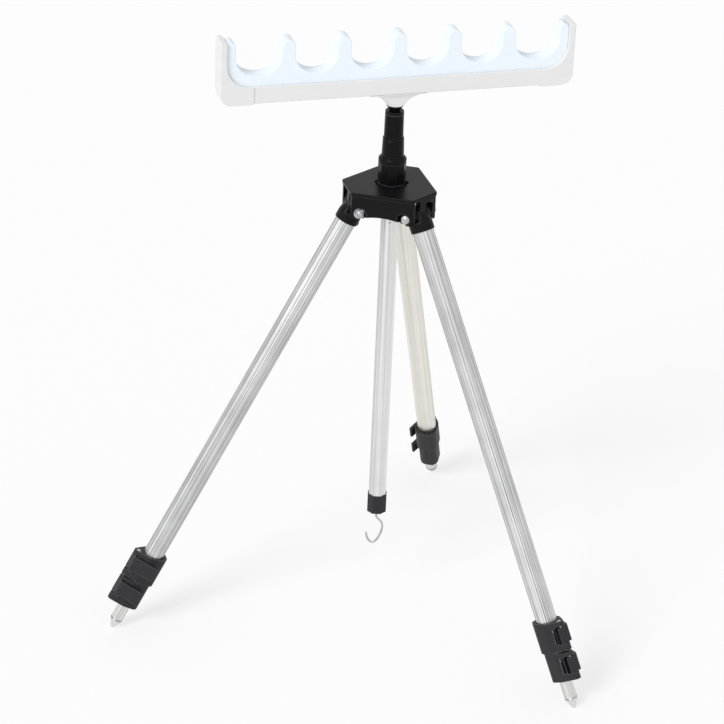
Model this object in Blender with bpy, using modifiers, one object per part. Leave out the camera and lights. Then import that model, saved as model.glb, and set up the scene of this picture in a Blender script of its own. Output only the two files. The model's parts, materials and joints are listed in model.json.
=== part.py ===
"""Rod tripod: a folding three-legged stand with a telescopic mast and a six-place rod comb.

Every piece is one object, in metres, with +Z up. The legs stand at 210, 330 and 90 degrees in plan,
each in its own frame: origin on its pivot bolt, +Z up the leg, +X away from the mast.
"""
import bpy
import bmesh
from math import cos, hypot, pi, radians, sin, tan
from mathutils import Matrix, Vector

MM = 0.001

# Running gap between pieces that touch, and the facets of a full circle.
GAP = 0.3 * MM
ROUND = 20
FINE_ROUND = 24

# Stance: the hub's top face, the pivots of the legs and how far they lean.
HUB_TOP = 503.6 * MM
PIVOT_RADIUS = 39.0 * MM
PIVOT_DROP = 23.0 * MM
LEG_LEAN = radians(28.15)
LEG_PLACES = {"left": radians(210), "right": radians(330), "rear": radians(90)}

# Hub: a triangle with its corners cut off, open below, with a wall on each long side.
HUB_SHORT_SIDE_DISTANCE = 48.0 * MM
HUB_SHORT_SIDE_HALF = 18.0 * MM
HUB_PLATE = 4.0 * MM
HUB_LIP = 0.8 * MM
HUB_WALL = 3.5 * MM
HUB_DEPTH = 29.5 * MM
HUB_ARCH_RISE = 5.0 * MM
HUB_SOCKET_WALL = 3.2 * MM
HUB_SOCKET_DEPTH = 26.0 * MM
BOLT_PAD_RADIUS = 7.7 * MM
SPOT_FACE_RADIUS = 6.1 * MM
BOLT_PAD_REACH = 16.2 * MM

# Pivot bolts and nuts.
BOLT_RADIUS = 3.0 * MM
BOLT_HEAD_RADIUS = 5.3 * MM
BOLT_HEAD_HEIGHT = 3.8 * MM
NUT_FLATS = 9.0 * MM
NUT_HEIGHT = 3.2 * MM
NUT_FLANGE_RADIUS = 5.6 * MM
NUT_FLANGE_HEIGHT = 0.8 * MM
BOLT_END = 0.6 * MM

# Knuckle: an eye on the bolt over a round socket for the upper tube.
EYE_RADIUS = 9.5 * MM
EYE_HALF_WIDTH = 8.3 * MM
SOCKET_WALL = 1.3 * MM
SOCKET_BOTTOM = 18.0 * MM
SOCKET_TOP = 8.3 * MM
SHOULDER_RISE = 12.0 * MM
SHOULDER_RADIUS = 8.0 * MM
STOP_LUG_LENGTH = 7.0 * MM
STOP_LUG_HALF_WIDTH = 4.0 * MM

# Leg tubes.
UPPER_TUBE_RADIUS = 11.0 * MM
MIDDLE_TUBE_CLEARANCE = 0.8 * MM
LOWER_TUBE_CLEARANCE = 1.1 * MM
UPPER_TUBE_WALL = 1.2 * MM
MIDDLE_TUBE_WALL = 1.2 * MM
LOWER_TUBE_WALL = 1.0 * MM
MIDDLE_TUBE_TOP = 525.0 * MM
LOWER_TUBE_TOP = 495.0 * MM
BUSH_FLANGE = 3.0 * MM
BUSH_SPIGOT = 10.0 * MM
BUSH_WALL = 1.6 * MM

# Foot: a metal point with a ring, on a spigot inside the lower tube.
FOOT_CONE = 11.6 * MM
FOOT_RING = 1.0 * MM
FOOT_RING_PROUD = 0.5 * MM
FOOT_POINT_RADIUS = 2.0 * MM
FOOT_SPIGOT = 12.0 * MM

# Locks: distances up the leg from the foot's point, heights, then the upper body's plan about the tube.
LOWER_LOCK_FOOT = 32.8 * MM
UPPER_LOCK_FOOT = 65.5 * MM
UPPER_LOCK_INNER_HEIGHT = 34.6 * MM
UPPER_LOCK_OUTER_HEIGHT = 31.2 * MM
LOWER_LOCK_INNER_HEIGHT = 31.8 * MM
LOWER_LOCK_OUTER_HEIGHT = 28.4 * MM
LOCK_HALF_WIDTH = 12.8 * MM
LOCK_BACK = 15.0 * MM
LOCK_BACK_CORNER = 9.9 * MM
LOCK_FRONT = 13.2 * MM
LOCK_FRONT_CORNER = 9.0 * MM
LOWER_LOCK_SCALE = 0.86
LOCK_SEAT = 20.0 * MM
SEAT_WALL = 1.0 * MM
PIN_REACH = 17.2 * MM
PIN_RADIUS = 1.5 * MM
PIN_PROUD = 0.4 * MM
EAR_RADIUS = 4.8 * MM
POCKET_LOW = 7.0 * MM
POCKET_HIGH = 26.0 * MM
SLOT_WIDTH = 2.6 * MM

# Levers: a barrel on the pin, a short heel and a flat thumb plate that runs back along the lock's side.
BARREL_RADIUS = 4.0 * MM
HEEL_LENGTH = 5.0 * MM
HEEL_THICKNESS = 2.7 * MM
PLATE_FACE = 16.6 * MM
PLATE_TURN = radians(60)
PLATE_THICKNESS = 3.4 * MM
PLATE_OVERHANG = 4.5 * MM
PLATE_TIP = 13.8 * MM
PLATE_TIP_ROUND = 1.8 * MM

# Mast: three black collars on nested tubes.
COLLAR_RADIUS = 14.6 * MM
COLLAR_HEIGHT = 30.0 * MM
COLLAR_SPIGOT_RADIUS = 13.0 * MM
COLLAR_SPIGOT = 24.0 * MM
COLLAR_TOP_WALL = 3.2 * MM
COLLAR_LUG_REACH = 16.4 * MM
COLLAR_LUG_HALF_WIDTH = 3.0 * MM
COLLAR_LUG_HEIGHT = 3.6 * MM
COLLAR_LUG_TURN = radians(14)
OCTAGON_FLATS = 18.6 * MM
OCTAGON_TURN = radians(-9.5)
OCTAGON_WALL = 1.1 * MM
MIDDLE_COLLAR_HEIGHT = 20.6 * MM
MIDDLE_COLLAR_FOOT_RADIUS = 11.65 * MM
MIDDLE_COLLAR_TOP_RADIUS = 11.0 * MM
TOP_COLLAR_HEIGHT = 28.9 * MM
TOP_COLLAR_FOOT_RADIUS = 10.1 * MM
TOP_COLLAR_TOP_RADIUS = 9.7 * MM
COLLAR_ROOF = 1.6 * MM
MAST_TUBE_WALL = 1.0 * MM
MIDDLE_MAST_FOOT = 150.0 * MM
TOP_MAST_FOOT = 180.0 * MM
TOP_MAST_CLEARANCE = 0.4 * MM
CAP_FOOT = 111.7 * MM
CAP_HEIGHT = 22.0 * MM
CAP_WALL = 0.7 * MM
CAP_FLOOR = 2.7 * MM

# Weight hook: steel wire, in the plane that faces the front.
HOOK_WIRE_RADIUS = 1.4 * MM
HOOK_HEAD_RADIUS = 3.4 * MM
HOOK_HEAD_HEIGHT = 2.0 * MM
HOOK_ROUTE = [(0.0, 112.5), (0.0, 103.5), (1.2, 99.6), (4.6, 96.6), (8.1, 90.6), (7.4, 84.5), (4.6, 77.5),
              (1.2, 70.3), (-2.7, 66.4), (-7.0, 68.6), (-9.0, 74.4), (-10.6, 78.0)]

# Neck between the mast and the comb.
NECK_FOOT_RADIUS = 5.8 * MM
NECK_TOP_RADIUS = 8.9 * MM
NECK_HEIGHT = 6.1 * MM
NECK_STUD_RADIUS = 4.0 * MM
NECK_STUD_DOWN = 15.0 * MM
NECK_STUD_UP = 10.0 * MM

# Comb: its turn on the mast in the photographed stance, then sizes along it, across it and up it.
COMB_TURN = radians(29.5)
COMB_HALF_LENGTH = 184.9 * MM
END_LENGTH = 34.3 * MM
CHANNEL_HALF_DEPTH = 12.0 * MM
CHANNEL_HEIGHT = 17.5 * MM
CHANNEL_WALL = 2.2 * MM
CHANNEL_FLOOR = 2.5 * MM
END_LIP = 1.0 * MM
END_DROP = 1.0 * MM
END_POST = 6.5 * MM
END_CORNER = 12.0 * MM
END_FILLET = 25.0 * MM
END_RISE = 1.0 * MM
END_TIP_CHAMFER = 1.5 * MM
PAD_TOP = 64.4 * MM
PAD_SCALLOP_FLOOR = 28.0 * MM
PAD_SCALLOP_ROUND = 20.0 * MM
TOOTH_PITCH = 57.4 * MM
TOOTH_HALF_WIDTH = 7.0 * MM
LIP_HALF_WIDTH = 4.7 * MM
SADDLE_HALF_LENGTH = 32.0 * MM
SADDLE_STEM_RADIUS = 9.0 * MM
SADDLE_LIP = 0.6 * MM
SADDLE_HEIGHT = 14.5 * MM
SADDLE_TIP = 2.0 * MM

# Places that follow from the values above.
PIVOT_HEIGHT = HUB_TOP - PIVOT_DROP
LEG_LENGTH = PIVOT_HEIGHT / cos(LEG_LEAN)
MIDDLE_TUBE_RADIUS = UPPER_TUBE_RADIUS - UPPER_TUBE_WALL - MIDDLE_TUBE_CLEARANCE
LOWER_TUBE_RADIUS = MIDDLE_TUBE_RADIUS - MIDDLE_TUBE_WALL - LOWER_TUBE_CLEARANCE
PIN_ALONG_PLATE = -PIN_REACH * sin(PLATE_TURN)
PIN_BEHIND_PLATE = PIN_REACH * cos(PLATE_TURN)
WEB_DEPTH = PLATE_FACE - PLATE_THICKNESS - PIN_BEHIND_PLATE
POCKET_RADIUS = max(hypot(HEEL_LENGTH, BARREL_RADIUS), hypot(PLATE_OVERHANG, WEB_DEPTH)) / cos(pi / 16) + GAP
HUB_WALL_DISTANCE = HUB_SHORT_SIDE_DISTANCE * 0.5 + HUB_SHORT_SIDE_HALF * sin(radians(60))
COLLAR_TOP = HUB_TOP + COLLAR_HEIGHT
MIDDLE_COLLAR_TOP = COLLAR_TOP + GAP + MIDDLE_COLLAR_HEIGHT
TOP_COLLAR_TOP = MIDDLE_COLLAR_TOP + GAP + TOP_COLLAR_HEIGHT
OCTAGON_BORE_RADIUS = OCTAGON_FLATS / 2 - OCTAGON_WALL
MIDDLE_MAST_RADIUS = OCTAGON_BORE_RADIUS - GAP
TOP_MAST_RADIUS = MIDDLE_MAST_RADIUS - MAST_TUBE_WALL - TOP_MAST_CLEARANCE
NECK_TOP = TOP_COLLAR_TOP + GAP + NECK_HEIGHT
COMB_FOOT = NECK_TOP + GAP + SADDLE_HEIGHT + GAP
CHANNEL_HALF_LENGTH = COMB_HALF_LENGTH - END_LENGTH
END_HALF_DEPTH = CHANNEL_HALF_DEPTH + END_LIP
SADDLE_HALF_DEPTH = CHANNEL_HALF_DEPTH + SADDLE_LIP

parts = bpy.data.collections.new("rod_tripod")
cutters = bpy.data.collections.new("rod_tripod_cutters")


def clear_scene():
    for obj in list(bpy.data.objects):
        bpy.data.objects.remove(obj, do_unlink=True)


def make_material(name, colour, roughness, metallic):
    material = bpy.data.materials.new(name)
    material.use_nodes = True
    shader = material.node_tree.nodes["Principled BSDF"]
    shader.inputs["Base Color"].default_value = (*colour, 1.0)
    shader.inputs["Roughness"].default_value = roughness
    shader.inputs["Metallic"].default_value = metallic
    material.diffuse_color = (*colour, 1.0)
    return material


def blank(mesh):
    """A working shape, kept among the cutters until it is cut or used."""
    obj = bpy.data.objects.new("blank", mesh)
    obj.hide_render = True
    obj.display_type = "WIRE"
    cutters.objects.link(obj)
    return obj


def blank_from(bm):
    mesh = bpy.data.meshes.new("blank")
    bm.to_mesh(mesh)
    bm.free()
    return blank(mesh)


def rod(radius, low, high, steps=ROUND, top_radius=None, turn=0.0):
    """A round, tapered or faceted bar along Z."""
    bm = bmesh.new()
    place = Matrix.Translation((0, 0, (low + high) / 2)) @ Matrix.Rotation(turn, 4, "Z")
    bmesh.ops.create_cone(bm, cap_ends=True, segments=steps, radius1=radius,
                          radius2=radius if top_radius is None else top_radius,
                          depth=high - low, matrix=place)
    return blank_from(bm)


def block(low, high):
    bm = bmesh.new()
    size = [b - a for a, b in zip(low, high)]
    middle = [(a + b) / 2 for a, b in zip(low, high)]
    bmesh.ops.create_cube(bm, size=1.0, matrix=Matrix.Translation(middle) @ Matrix.Diagonal((*size, 1)))
    return blank_from(bm)


def turned(profile, closed=False, steps=ROUND):
    """A profile of (radius, height) points turned about Z. It runs down its outer side."""
    mesh = bpy.data.meshes.new("profile")
    points = [(radius, 0, height) for radius, height in profile]
    edges = [(i, i + 1) for i in range(len(points) - 1)]
    if closed:
        edges.append((len(points) - 1, 0))
    mesh.from_pydata(points, edges, [])
    obj = blank(mesh)
    screw = obj.modifiers.new("turn", "SCREW")
    screw.axis = "Z"
    screw.steps = screw.render_steps = steps
    screw.use_merge_vertices = True
    screw.merge_threshold = 0.00001
    return obj


def ring(outer, inner, low, high, steps=ROUND):
    return turned([(outer, high), (outer, low), (inner, low), (inner, high)], closed=True, steps=steps)


def plate(outline, low, high):
    """A flat outline in X and Y, given its thickness from low to high."""
    curve = bpy.data.curves.new("outline", "CURVE")
    curve.dimensions = "2D"
    curve.fill_mode = "BOTH"
    curve.extrude = (high - low) / 2
    spline = curve.splines.new("POLY")
    spline.points.add(len(outline) - 1)
    for point, (x, y) in zip(spline.points, outline):
        point.co = (x, y, 0, 1)
    spline.use_cyclic_u = True
    obj = meshed(curve)
    obj.data.transform(Matrix.Translation((0, 0, (low + high) / 2)))
    return obj


def meshed(curve):
    """A curve's surface as a welded mesh."""
    source = bpy.data.objects.new("curve", curve)
    cutters.objects.link(source)
    bpy.context.view_layer.update()
    mesh = bpy.data.meshes.new_from_object(source.evaluated_get(bpy.context.evaluated_depsgraph_get()))
    bpy.data.objects.remove(source, do_unlink=True)
    bm = bmesh.new()
    bm.from_mesh(mesh)
    bmesh.ops.remove_doubles(bm, verts=bm.verts, dist=0.000001)
    bmesh.ops.recalc_face_normals(bm, faces=bm.faces)
    bm.to_mesh(mesh)
    bm.free()
    return blank(mesh)


def moved(obj, *matrices):
    """Bakes a place into a working shape's mesh, after its modifiers."""
    mesh = baked(obj)
    for matrix in reversed(matrices):
        mesh.transform(matrix)
    return blank(mesh)


def with_tool(obj, tool, operation):
    modifier = obj.modifiers.new(operation.lower(), "BOOLEAN")
    modifier.operation = operation
    modifier.solver = "EXACT"
    modifier.object = tool
    return obj


def cut(obj, *tools):
    for tool in tools:
        with_tool(obj, tool, "DIFFERENCE")
    return blank(baked(obj, tools))


def joined(obj, *tools):
    for tool in tools:
        with_tool(obj, tool, "UNION")
    return blank(baked(obj, tools))


def common(obj, tool):
    with_tool(obj, tool, "INTERSECT")
    return blank(baked(obj, [tool]))


def baked(obj, tools=()):
    """The finished mesh of a working shape; the shape and its tools are cleared away."""
    bpy.context.view_layer.update()
    mesh = bpy.data.meshes.new_from_object(obj.evaluated_get(bpy.context.evaluated_depsgraph_get()))
    for used in (obj, *tools):
        bpy.data.objects.remove(used, do_unlink=True)
    return mesh


def shaped(obj, material):
    """A finished mesh with its material, smooth where it is round."""
    mesh = baked(obj)
    mesh.materials.clear()
    mesh.materials.append(material)
    mesh.shade_smooth()
    mesh.set_sharp_from_angle(angle=radians(35))
    return mesh


def add_part(name, mesh, parent, location=(0, 0, 0)):
    mesh.name = name
    obj = bpy.data.objects.new(name, mesh)
    obj.parent = parent
    obj.location = location
    parts.objects.link(obj)
    return obj


def add_empty(name, parent=None, location=(0, 0, 0), rotation=(0, 0, 0)):
    empty = bpy.data.objects.new(name, None)
    empty.parent = parent
    empty.location = location
    empty.rotation_euler = rotation
    empty.empty_display_size = 0.02
    parts.objects.link(empty)
    return empty


def arc(centre, radius, start, end, steps):
    """Points along an arc; radius may be a pair for an ellipse."""
    across, up = radius if isinstance(radius, tuple) else (radius, radius)
    angles = [start + (end - start) * i / steps for i in range(steps + 1)]
    return [(centre[0] + across * cos(a), centre[1] + up * sin(a)) for a in angles]


def hull_of(circles, steps):
    """The outline drawn tight round a set of (x, y, radius) circles."""
    outline = []
    for i in range(steps):
        direction = Vector((cos(2 * pi * i / steps), sin(2 * pi * i / steps)))
        x, y, radius = max(circles, key=lambda c: c[0] * direction.x + c[1] * direction.y + c[2])
        outline.append((x + radius * direction.x, y + radius * direction.y))
    return outline


def smooth_route(points, per_span):
    """A Catmull-Rom curve through the given points."""
    ends = [2 * points[0] - points[1], *points, 2 * points[-1] - points[-2]]
    route = []
    for i in range(1, len(ends) - 2):
        a, b, c, d = ends[i - 1:i + 3]
        for step in range(per_span):
            t = step / per_span
            route.append(0.5 * (2 * b + (c - a) * t + (2 * a - 5 * b + 4 * c - d) * t ** 2
                                + (3 * b - a - 3 * c + d) * t ** 3))
    return [*route, points[-1]]


def across_octagon(flats):
    """The corner radius of an octagon with that distance between its flats."""
    return flats / 2 / cos(pi / 8)


def hub_outline(inset=0.0, open_ends=0.0):
    """The hub's plan, its walls moved in by inset and its short sides out by open_ends."""
    distance = HUB_SHORT_SIDE_DISTANCE + open_ends
    half = HUB_SHORT_SIDE_HALF - inset / cos(radians(30)) - open_ends * tan(radians(30))
    outline = []
    for place in sorted(LEG_PLACES.values()):
        out = Vector((cos(place), sin(place)))
        along = Vector((-sin(place), cos(place)))
        outline += [out * distance - along * half, out * distance + along * half]
    return [(p.x, p.y) for p in outline]


def bolt_line(place):
    """A frame on a leg's pivot bolt: its Z runs along the bolt, anticlockwise in plan."""
    centre = Vector((PIVOT_RADIUS * cos(place), PIVOT_RADIUS * sin(place), PIVOT_HEIGHT))
    return Matrix.Translation(centre) @ Matrix.Rotation(place, 4, "Z") @ Matrix.Rotation(-pi / 2, 4, "X")


def make_hub(material):
    underside = HUB_TOP - HUB_PLATE
    foot = HUB_TOP - HUB_DEPTH
    body = joined(plate(hub_outline(), underside, HUB_TOP),
                  plate(hub_outline(inset=HUB_LIP, open_ends=-HUB_LIP), foot, underside + GAP))
    hollow = plate(hub_outline(inset=HUB_LIP + HUB_WALL, open_ends=4 * MM), foot - MM, underside)
    body = cut(body, hollow)
    pads = []
    for place in LEG_PLACES.values():
        for side in (1, -1):
            pad = rod(BOLT_PAD_RADIUS, EYE_HALF_WIDTH + GAP, 2 * BOLT_PAD_REACH, steps=16)
            pad = moved(pad, bolt_line(place), Matrix.Rotation(0 if side > 0 else pi, 4, "X"))
            inside = plate(hub_outline(inset=HUB_LIP + 0.1 * MM, open_ends=-HUB_LIP), foot, underside)
            pads.append(common(pad, inside))
    socket_radius = COLLAR_SPIGOT_RADIUS + GAP
    socket = rod(socket_radius + HUB_SOCKET_WALL, HUB_TOP - HUB_SOCKET_DEPTH, underside + GAP,
                 steps=FINE_ROUND)
    body = joined(body, socket, *pads)
    tools = [rod(socket_radius, foot - MM, HUB_TOP + MM, steps=FINE_ROUND)]
    notch_reach = COLLAR_LUG_REACH + 2 * GAP
    notch_half = COLLAR_LUG_HALF_WIDTH + GAP
    notch = block((-notch_reach, -notch_half, underside - MM), (notch_reach, notch_half, HUB_TOP + MM))
    tools.append(moved(notch, Matrix.Rotation(COLLAR_LUG_TURN, 4, "Z")))
    half_arch = HUB_WALL_DISTANCE * 0.68
    arch_radius = (half_arch ** 2 + HUB_ARCH_RISE ** 2) / (2 * HUB_ARCH_RISE)
    for place in LEG_PLACES.values():
        bore = rod(BOLT_RADIUS + GAP, -60 * MM, 60 * MM, steps=12)
        tools.append(moved(bore, bolt_line(place)))
        for side in (1, -1):
            face = rod(SPOT_FACE_RADIUS, BOLT_PAD_REACH, BOLT_PAD_REACH + 20 * MM, steps=16)
            tools.append(moved(face, bolt_line(place), Matrix.Rotation(0 if side > 0 else pi, 4, "X")))
        wall_inside = HUB_WALL_DISTANCE - HUB_LIP - HUB_WALL
        arch = rod(arch_radius, wall_inside - MM, HUB_WALL_DISTANCE + MM, steps=60)
        lie_out = Matrix.Rotation(place + pi, 4, "Z") @ Matrix.Rotation(pi / 2, 4, "Y")
        lower = Matrix.Translation((0, 0, foot + HUB_ARCH_RISE - arch_radius))
        tools.append(moved(arch, lower @ lie_out))
    return shaped(cut(body, *tools), material)


def make_bolt(material):
    seat = BOLT_PAD_REACH + GAP
    head = arc((0, -seat), (BOLT_HEAD_RADIUS, BOLT_HEAD_HEIGHT), -pi / 2, 0, 3)
    end = seat + NUT_HEIGHT + NUT_FLANGE_HEIGHT + BOLT_END
    profile = [(0, end), (BOLT_RADIUS - 0.5 * MM, end), (BOLT_RADIUS, end - 0.5 * MM),
               (BOLT_RADIUS, -seat), *reversed(head)]
    profile[-1] = (0, -seat - BOLT_HEAD_HEIGHT)
    return shaped(turned(profile, steps=12), material)


def make_nut(material):
    seat = BOLT_PAD_REACH + GAP
    flange_top = seat + NUT_FLANGE_HEIGHT
    flange = rod(NUT_FLANGE_RADIUS, seat, flange_top, steps=16)
    nut = rod(NUT_FLATS / 2 / cos(pi / 6), flange_top - 0.1 * MM, flange_top + NUT_HEIGHT, steps=6)
    bore = rod(BOLT_RADIUS + GAP, seat - MM, flange_top + NUT_HEIGHT + MM, steps=12)
    return shaped(cut(joined(flange, nut), bore), material)


def make_knuckle(material):
    inner = UPPER_TUBE_RADIUS + GAP
    outer = inner + SOCKET_WALL
    shoulder = -SOCKET_TOP + SHOULDER_RISE
    socket = turned([(0, shoulder), (SHOULDER_RADIUS, shoulder), (outer, -SOCKET_TOP),
                     (outer, -SOCKET_BOTTOM), (0, -SOCKET_BOTTOM)], steps=FINE_ROUND)
    eye = moved(rod(EYE_RADIUS, -EYE_HALF_WIDTH, EYE_HALF_WIDTH), Matrix.Rotation(pi / 2, 4, "X"))
    lug_top = PIVOT_DROP - HUB_PLATE - GAP
    lug = block((0, -STOP_LUG_HALF_WIDTH, 0), (STOP_LUG_LENGTH, STOP_LUG_HALF_WIDTH, lug_top))
    lug = moved(lug, Matrix.Rotation(LEG_LEAN, 4, "Y"))
    sides = block((-3 * EYE_RADIUS, -EYE_HALF_WIDTH, -SOCKET_TOP),
                  (3 * EYE_RADIUS, EYE_HALF_WIDTH, 3 * EYE_RADIUS))
    below = block((-3 * EYE_RADIUS, -3 * EYE_RADIUS, -2 * SOCKET_BOTTOM),
                  (3 * EYE_RADIUS, 3 * EYE_RADIUS, -SOCKET_TOP + 0.1 * MM))
    body = common(joined(socket, eye, lug), joined(sides, below))
    bore = rod(inner, -SOCKET_BOTTOM - MM, -SOCKET_TOP, steps=FINE_ROUND)
    bolt_hole = moved(rod(BOLT_RADIUS + GAP, -20 * MM, 20 * MM, steps=12), Matrix.Rotation(pi / 2, 4, "X"))
    return shaped(cut(body, bore, bolt_hole), material)


def from_foot(distance):
    """A height in the leg's frame, given the distance up the leg from the foot's point."""
    return distance - LEG_LENGTH


def make_tube(radius, wall, low, high, material):
    return shaped(ring(radius, radius - wall, low, high, steps=FINE_ROUND), material)


def make_bush(tube_radius, tube_wall, guide_radius, seat, material):
    """A plastic ring on a tube's hidden end, which guides it in the tube outside it."""
    outer = guide_radius - GAP
    spigot = tube_radius - tube_wall - GAP
    inner = spigot - BUSH_WALL
    profile = [(outer, seat + BUSH_FLANGE), (outer, seat), (spigot, seat), (spigot, seat - BUSH_SPIGOT),
               (inner, seat - BUSH_SPIGOT), (inner, seat + BUSH_FLANGE)]
    return shaped(turned(profile, closed=True), material)


def make_foot(material):
    tube_inner = LOWER_TUBE_RADIUS - LOWER_TUBE_WALL
    spigot = tube_inner - GAP
    collar = LOWER_TUBE_RADIUS + FOOT_RING_PROUD
    ring_top = FOOT_CONE + FOOT_RING
    point = arc((0, FOOT_POINT_RADIUS), FOOT_POINT_RADIUS, radians(-30), radians(-90), 2)
    spigot_top = ring_top + FOOT_SPIGOT
    profile = [(0, spigot_top), (spigot, spigot_top), (spigot, ring_top), (collar, ring_top),
               (collar, FOOT_CONE), (LOWER_TUBE_RADIUS, FOOT_CONE), *point]
    profile[-1] = (0, 0)
    profile = [(radius, from_foot(height)) for radius, height in profile]
    return shaped(turned(profile), material)


def lock_slope(inner_height, outer_height, scale):
    return (inner_height - outer_height) / (LOCK_BACK * scale + PIN_REACH + EAR_RADIUS)


def beside_plate(obj):
    """Places a shape drawn along the thumb plate, up it and out from the tube."""
    stand = Matrix(((0, 0, 1, 0), (1, 0, 0, 0), (0, 1, 0, 0), (0, 0, 0, 1)))
    return moved(obj, Matrix.Rotation(PLATE_TURN, 4, "Z"), stand)


def thumb_plate(gap, outward):
    """The lever's plate, or with a gap its pocket."""
    low = POCKET_LOW + GAP - gap
    high = POCKET_HIGH - GAP + gap
    start = PIN_ALONG_PLATE - PLATE_OVERHANG - gap
    tip = PLATE_TIP + gap
    round_ = PLATE_TIP_ROUND
    outline = [(start, low), (tip - round_, low), (tip, low + round_), (tip, high - round_),
               (tip - round_, high), (start, high)]
    return beside_plate(plate(outline, PLATE_FACE - PLATE_THICKNESS - gap, outward))


def make_lock(seat_radius, clamp_radius, inner_height, outer_height, scale, material):
    """A lock's body: a sleeve with two ears, and a pocket between them for the lever."""
    back_x = (LOCK_BACK - LOCK_BACK_CORNER) * scale
    back_y = (LOCK_HALF_WIDTH - LOCK_BACK_CORNER) * scale
    front_x = (LOCK_FRONT - LOCK_FRONT_CORNER) * scale
    front_y = (LOCK_HALF_WIDTH - LOCK_FRONT_CORNER) * scale
    back_round = LOCK_BACK_CORNER * scale
    front_round = LOCK_FRONT_CORNER * scale
    circles = [(-back_x, back_y, back_round), (-back_x, -back_y, back_round),
               (front_x, front_y, front_round), (front_x, -front_y, front_round),
               (PIN_REACH, 0, EAR_RADIUS)]
    body = plate(hull_of(circles, 28), 0, inner_height)
    slope = lock_slope(inner_height, outer_height, scale)
    above = block((-60 * MM, -60 * MM, 0), (60 * MM, 60 * MM, 40 * MM))
    shear = Matrix.Identity(4)
    shear[2][0] = -slope
    shear[2][3] = inner_height - slope * LOCK_BACK * scale
    above = moved(above, shear)
    core = seat_radius + GAP + SEAT_WALL
    pin_place = Matrix.Translation((PIN_REACH, 0, 0))
    round_pocket = moved(rod(POCKET_RADIUS, POCKET_LOW, POCKET_HIGH, steps=16), pin_place)
    slot_side = -HEEL_LENGTH - GAP
    slot = block((LOCK_FRONT * scale, slot_side - SLOT_WIDTH, POCKET_LOW + MM),
                 (40 * MM, slot_side + MM, POCKET_HIGH + MM))
    pocket = cut(joined(round_pocket, thumb_plate(GAP, PLATE_FACE + 12 * MM), slot),
                 rod(core, 0, inner_height))
    pin_hole = moved(rod(PIN_RADIUS + GAP, -MM, inner_height + MM, steps=8), pin_place)
    seat = rod(seat_radius + GAP, LOCK_SEAT, inner_height + MM, steps=FINE_ROUND)
    clamp = rod(clamp_radius + GAP, -MM, inner_height + MM, steps=FINE_ROUND)
    return shaped(cut(body, above, pocket, pin_hole, joined(seat, clamp)), material)


def make_lever(material):
    """A lever, in the frame of its pin: +X away from the tube, +Y towards the thumb plate."""
    low = POCKET_LOW + GAP
    high = POCKET_HIGH - GAP
    web = beside_plate(block((PIN_ALONG_PLATE - PLATE_OVERHANG, low, PIN_BEHIND_PLATE),
                             (PIN_ALONG_PLATE + BARREL_RADIUS, high, PLATE_FACE - MM)))
    flat = moved(joined(thumb_plate(0, PLATE_FACE), web), Matrix.Translation((-PIN_REACH, 0, 0)))
    barrel = rod(BARREL_RADIUS, low, high, steps=12)
    heel_face = BARREL_RADIUS - 0.1 * MM
    heel = block((heel_face - HEEL_THICKNESS, -HEEL_LENGTH, low), (heel_face, MM, high))
    hole = rod(PIN_RADIUS + GAP, low - MM, high + MM, steps=8)
    return shaped(cut(joined(flat, barrel, heel), hole), material)


def make_pin(outer_height, slope, material):
    top = outer_height + slope * EAR_RADIUS + PIN_PROUD
    return shaped(rod(PIN_RADIUS, PIN_PROUD, top, steps=8), material)


def leg_meshes(plastic, aluminium, steel):
    """The pieces of one leg, made once and shared by the three."""
    upper_inner = UPPER_TUBE_RADIUS - UPPER_TUBE_WALL
    middle_inner = MIDDLE_TUBE_RADIUS - MIDDLE_TUBE_WALL
    upper_heights = (UPPER_LOCK_INNER_HEIGHT, UPPER_LOCK_OUTER_HEIGHT, 1.0)
    lower_heights = (LOWER_LOCK_INNER_HEIGHT, LOWER_LOCK_OUTER_HEIGHT, LOWER_LOCK_SCALE)
    seat = LOCK_SEAT + GAP
    return {
        "knuckle": make_knuckle(plastic),
        "pivot_bolt": make_bolt(steel),
        "pivot_nut": make_nut(steel),
        "upper_tube": make_tube(UPPER_TUBE_RADIUS, UPPER_TUBE_WALL, from_foot(UPPER_LOCK_FOOT + seat),
                                -SOCKET_TOP - GAP, aluminium),
        "middle_tube": make_tube(MIDDLE_TUBE_RADIUS, MIDDLE_TUBE_WALL, from_foot(LOWER_LOCK_FOOT + seat),
                                 from_foot(MIDDLE_TUBE_TOP), aluminium),
        "lower_tube": make_tube(LOWER_TUBE_RADIUS, LOWER_TUBE_WALL, from_foot(FOOT_CONE + FOOT_RING + GAP),
                                from_foot(LOWER_TUBE_TOP), aluminium),
        "middle_bush": make_bush(MIDDLE_TUBE_RADIUS, MIDDLE_TUBE_WALL, upper_inner,
                                 from_foot(MIDDLE_TUBE_TOP) + GAP, plastic),
        "lower_bush": make_bush(LOWER_TUBE_RADIUS, LOWER_TUBE_WALL, middle_inner,
                                from_foot(LOWER_TUBE_TOP) + GAP, plastic),
        "foot": make_foot(steel),
        "upper_lock": make_lock(UPPER_TUBE_RADIUS, MIDDLE_TUBE_RADIUS, *upper_heights, plastic),
        "lower_lock": make_lock(MIDDLE_TUBE_RADIUS, LOWER_TUBE_RADIUS, *lower_heights, plastic),
        "lever": make_lever(plastic),
        "upper_pin": make_pin(UPPER_LOCK_OUTER_HEIGHT, lock_slope(*upper_heights), steel),
        "lower_pin": make_pin(LOWER_LOCK_OUTER_HEIGHT, lock_slope(*lower_heights), steel),
    }


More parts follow.
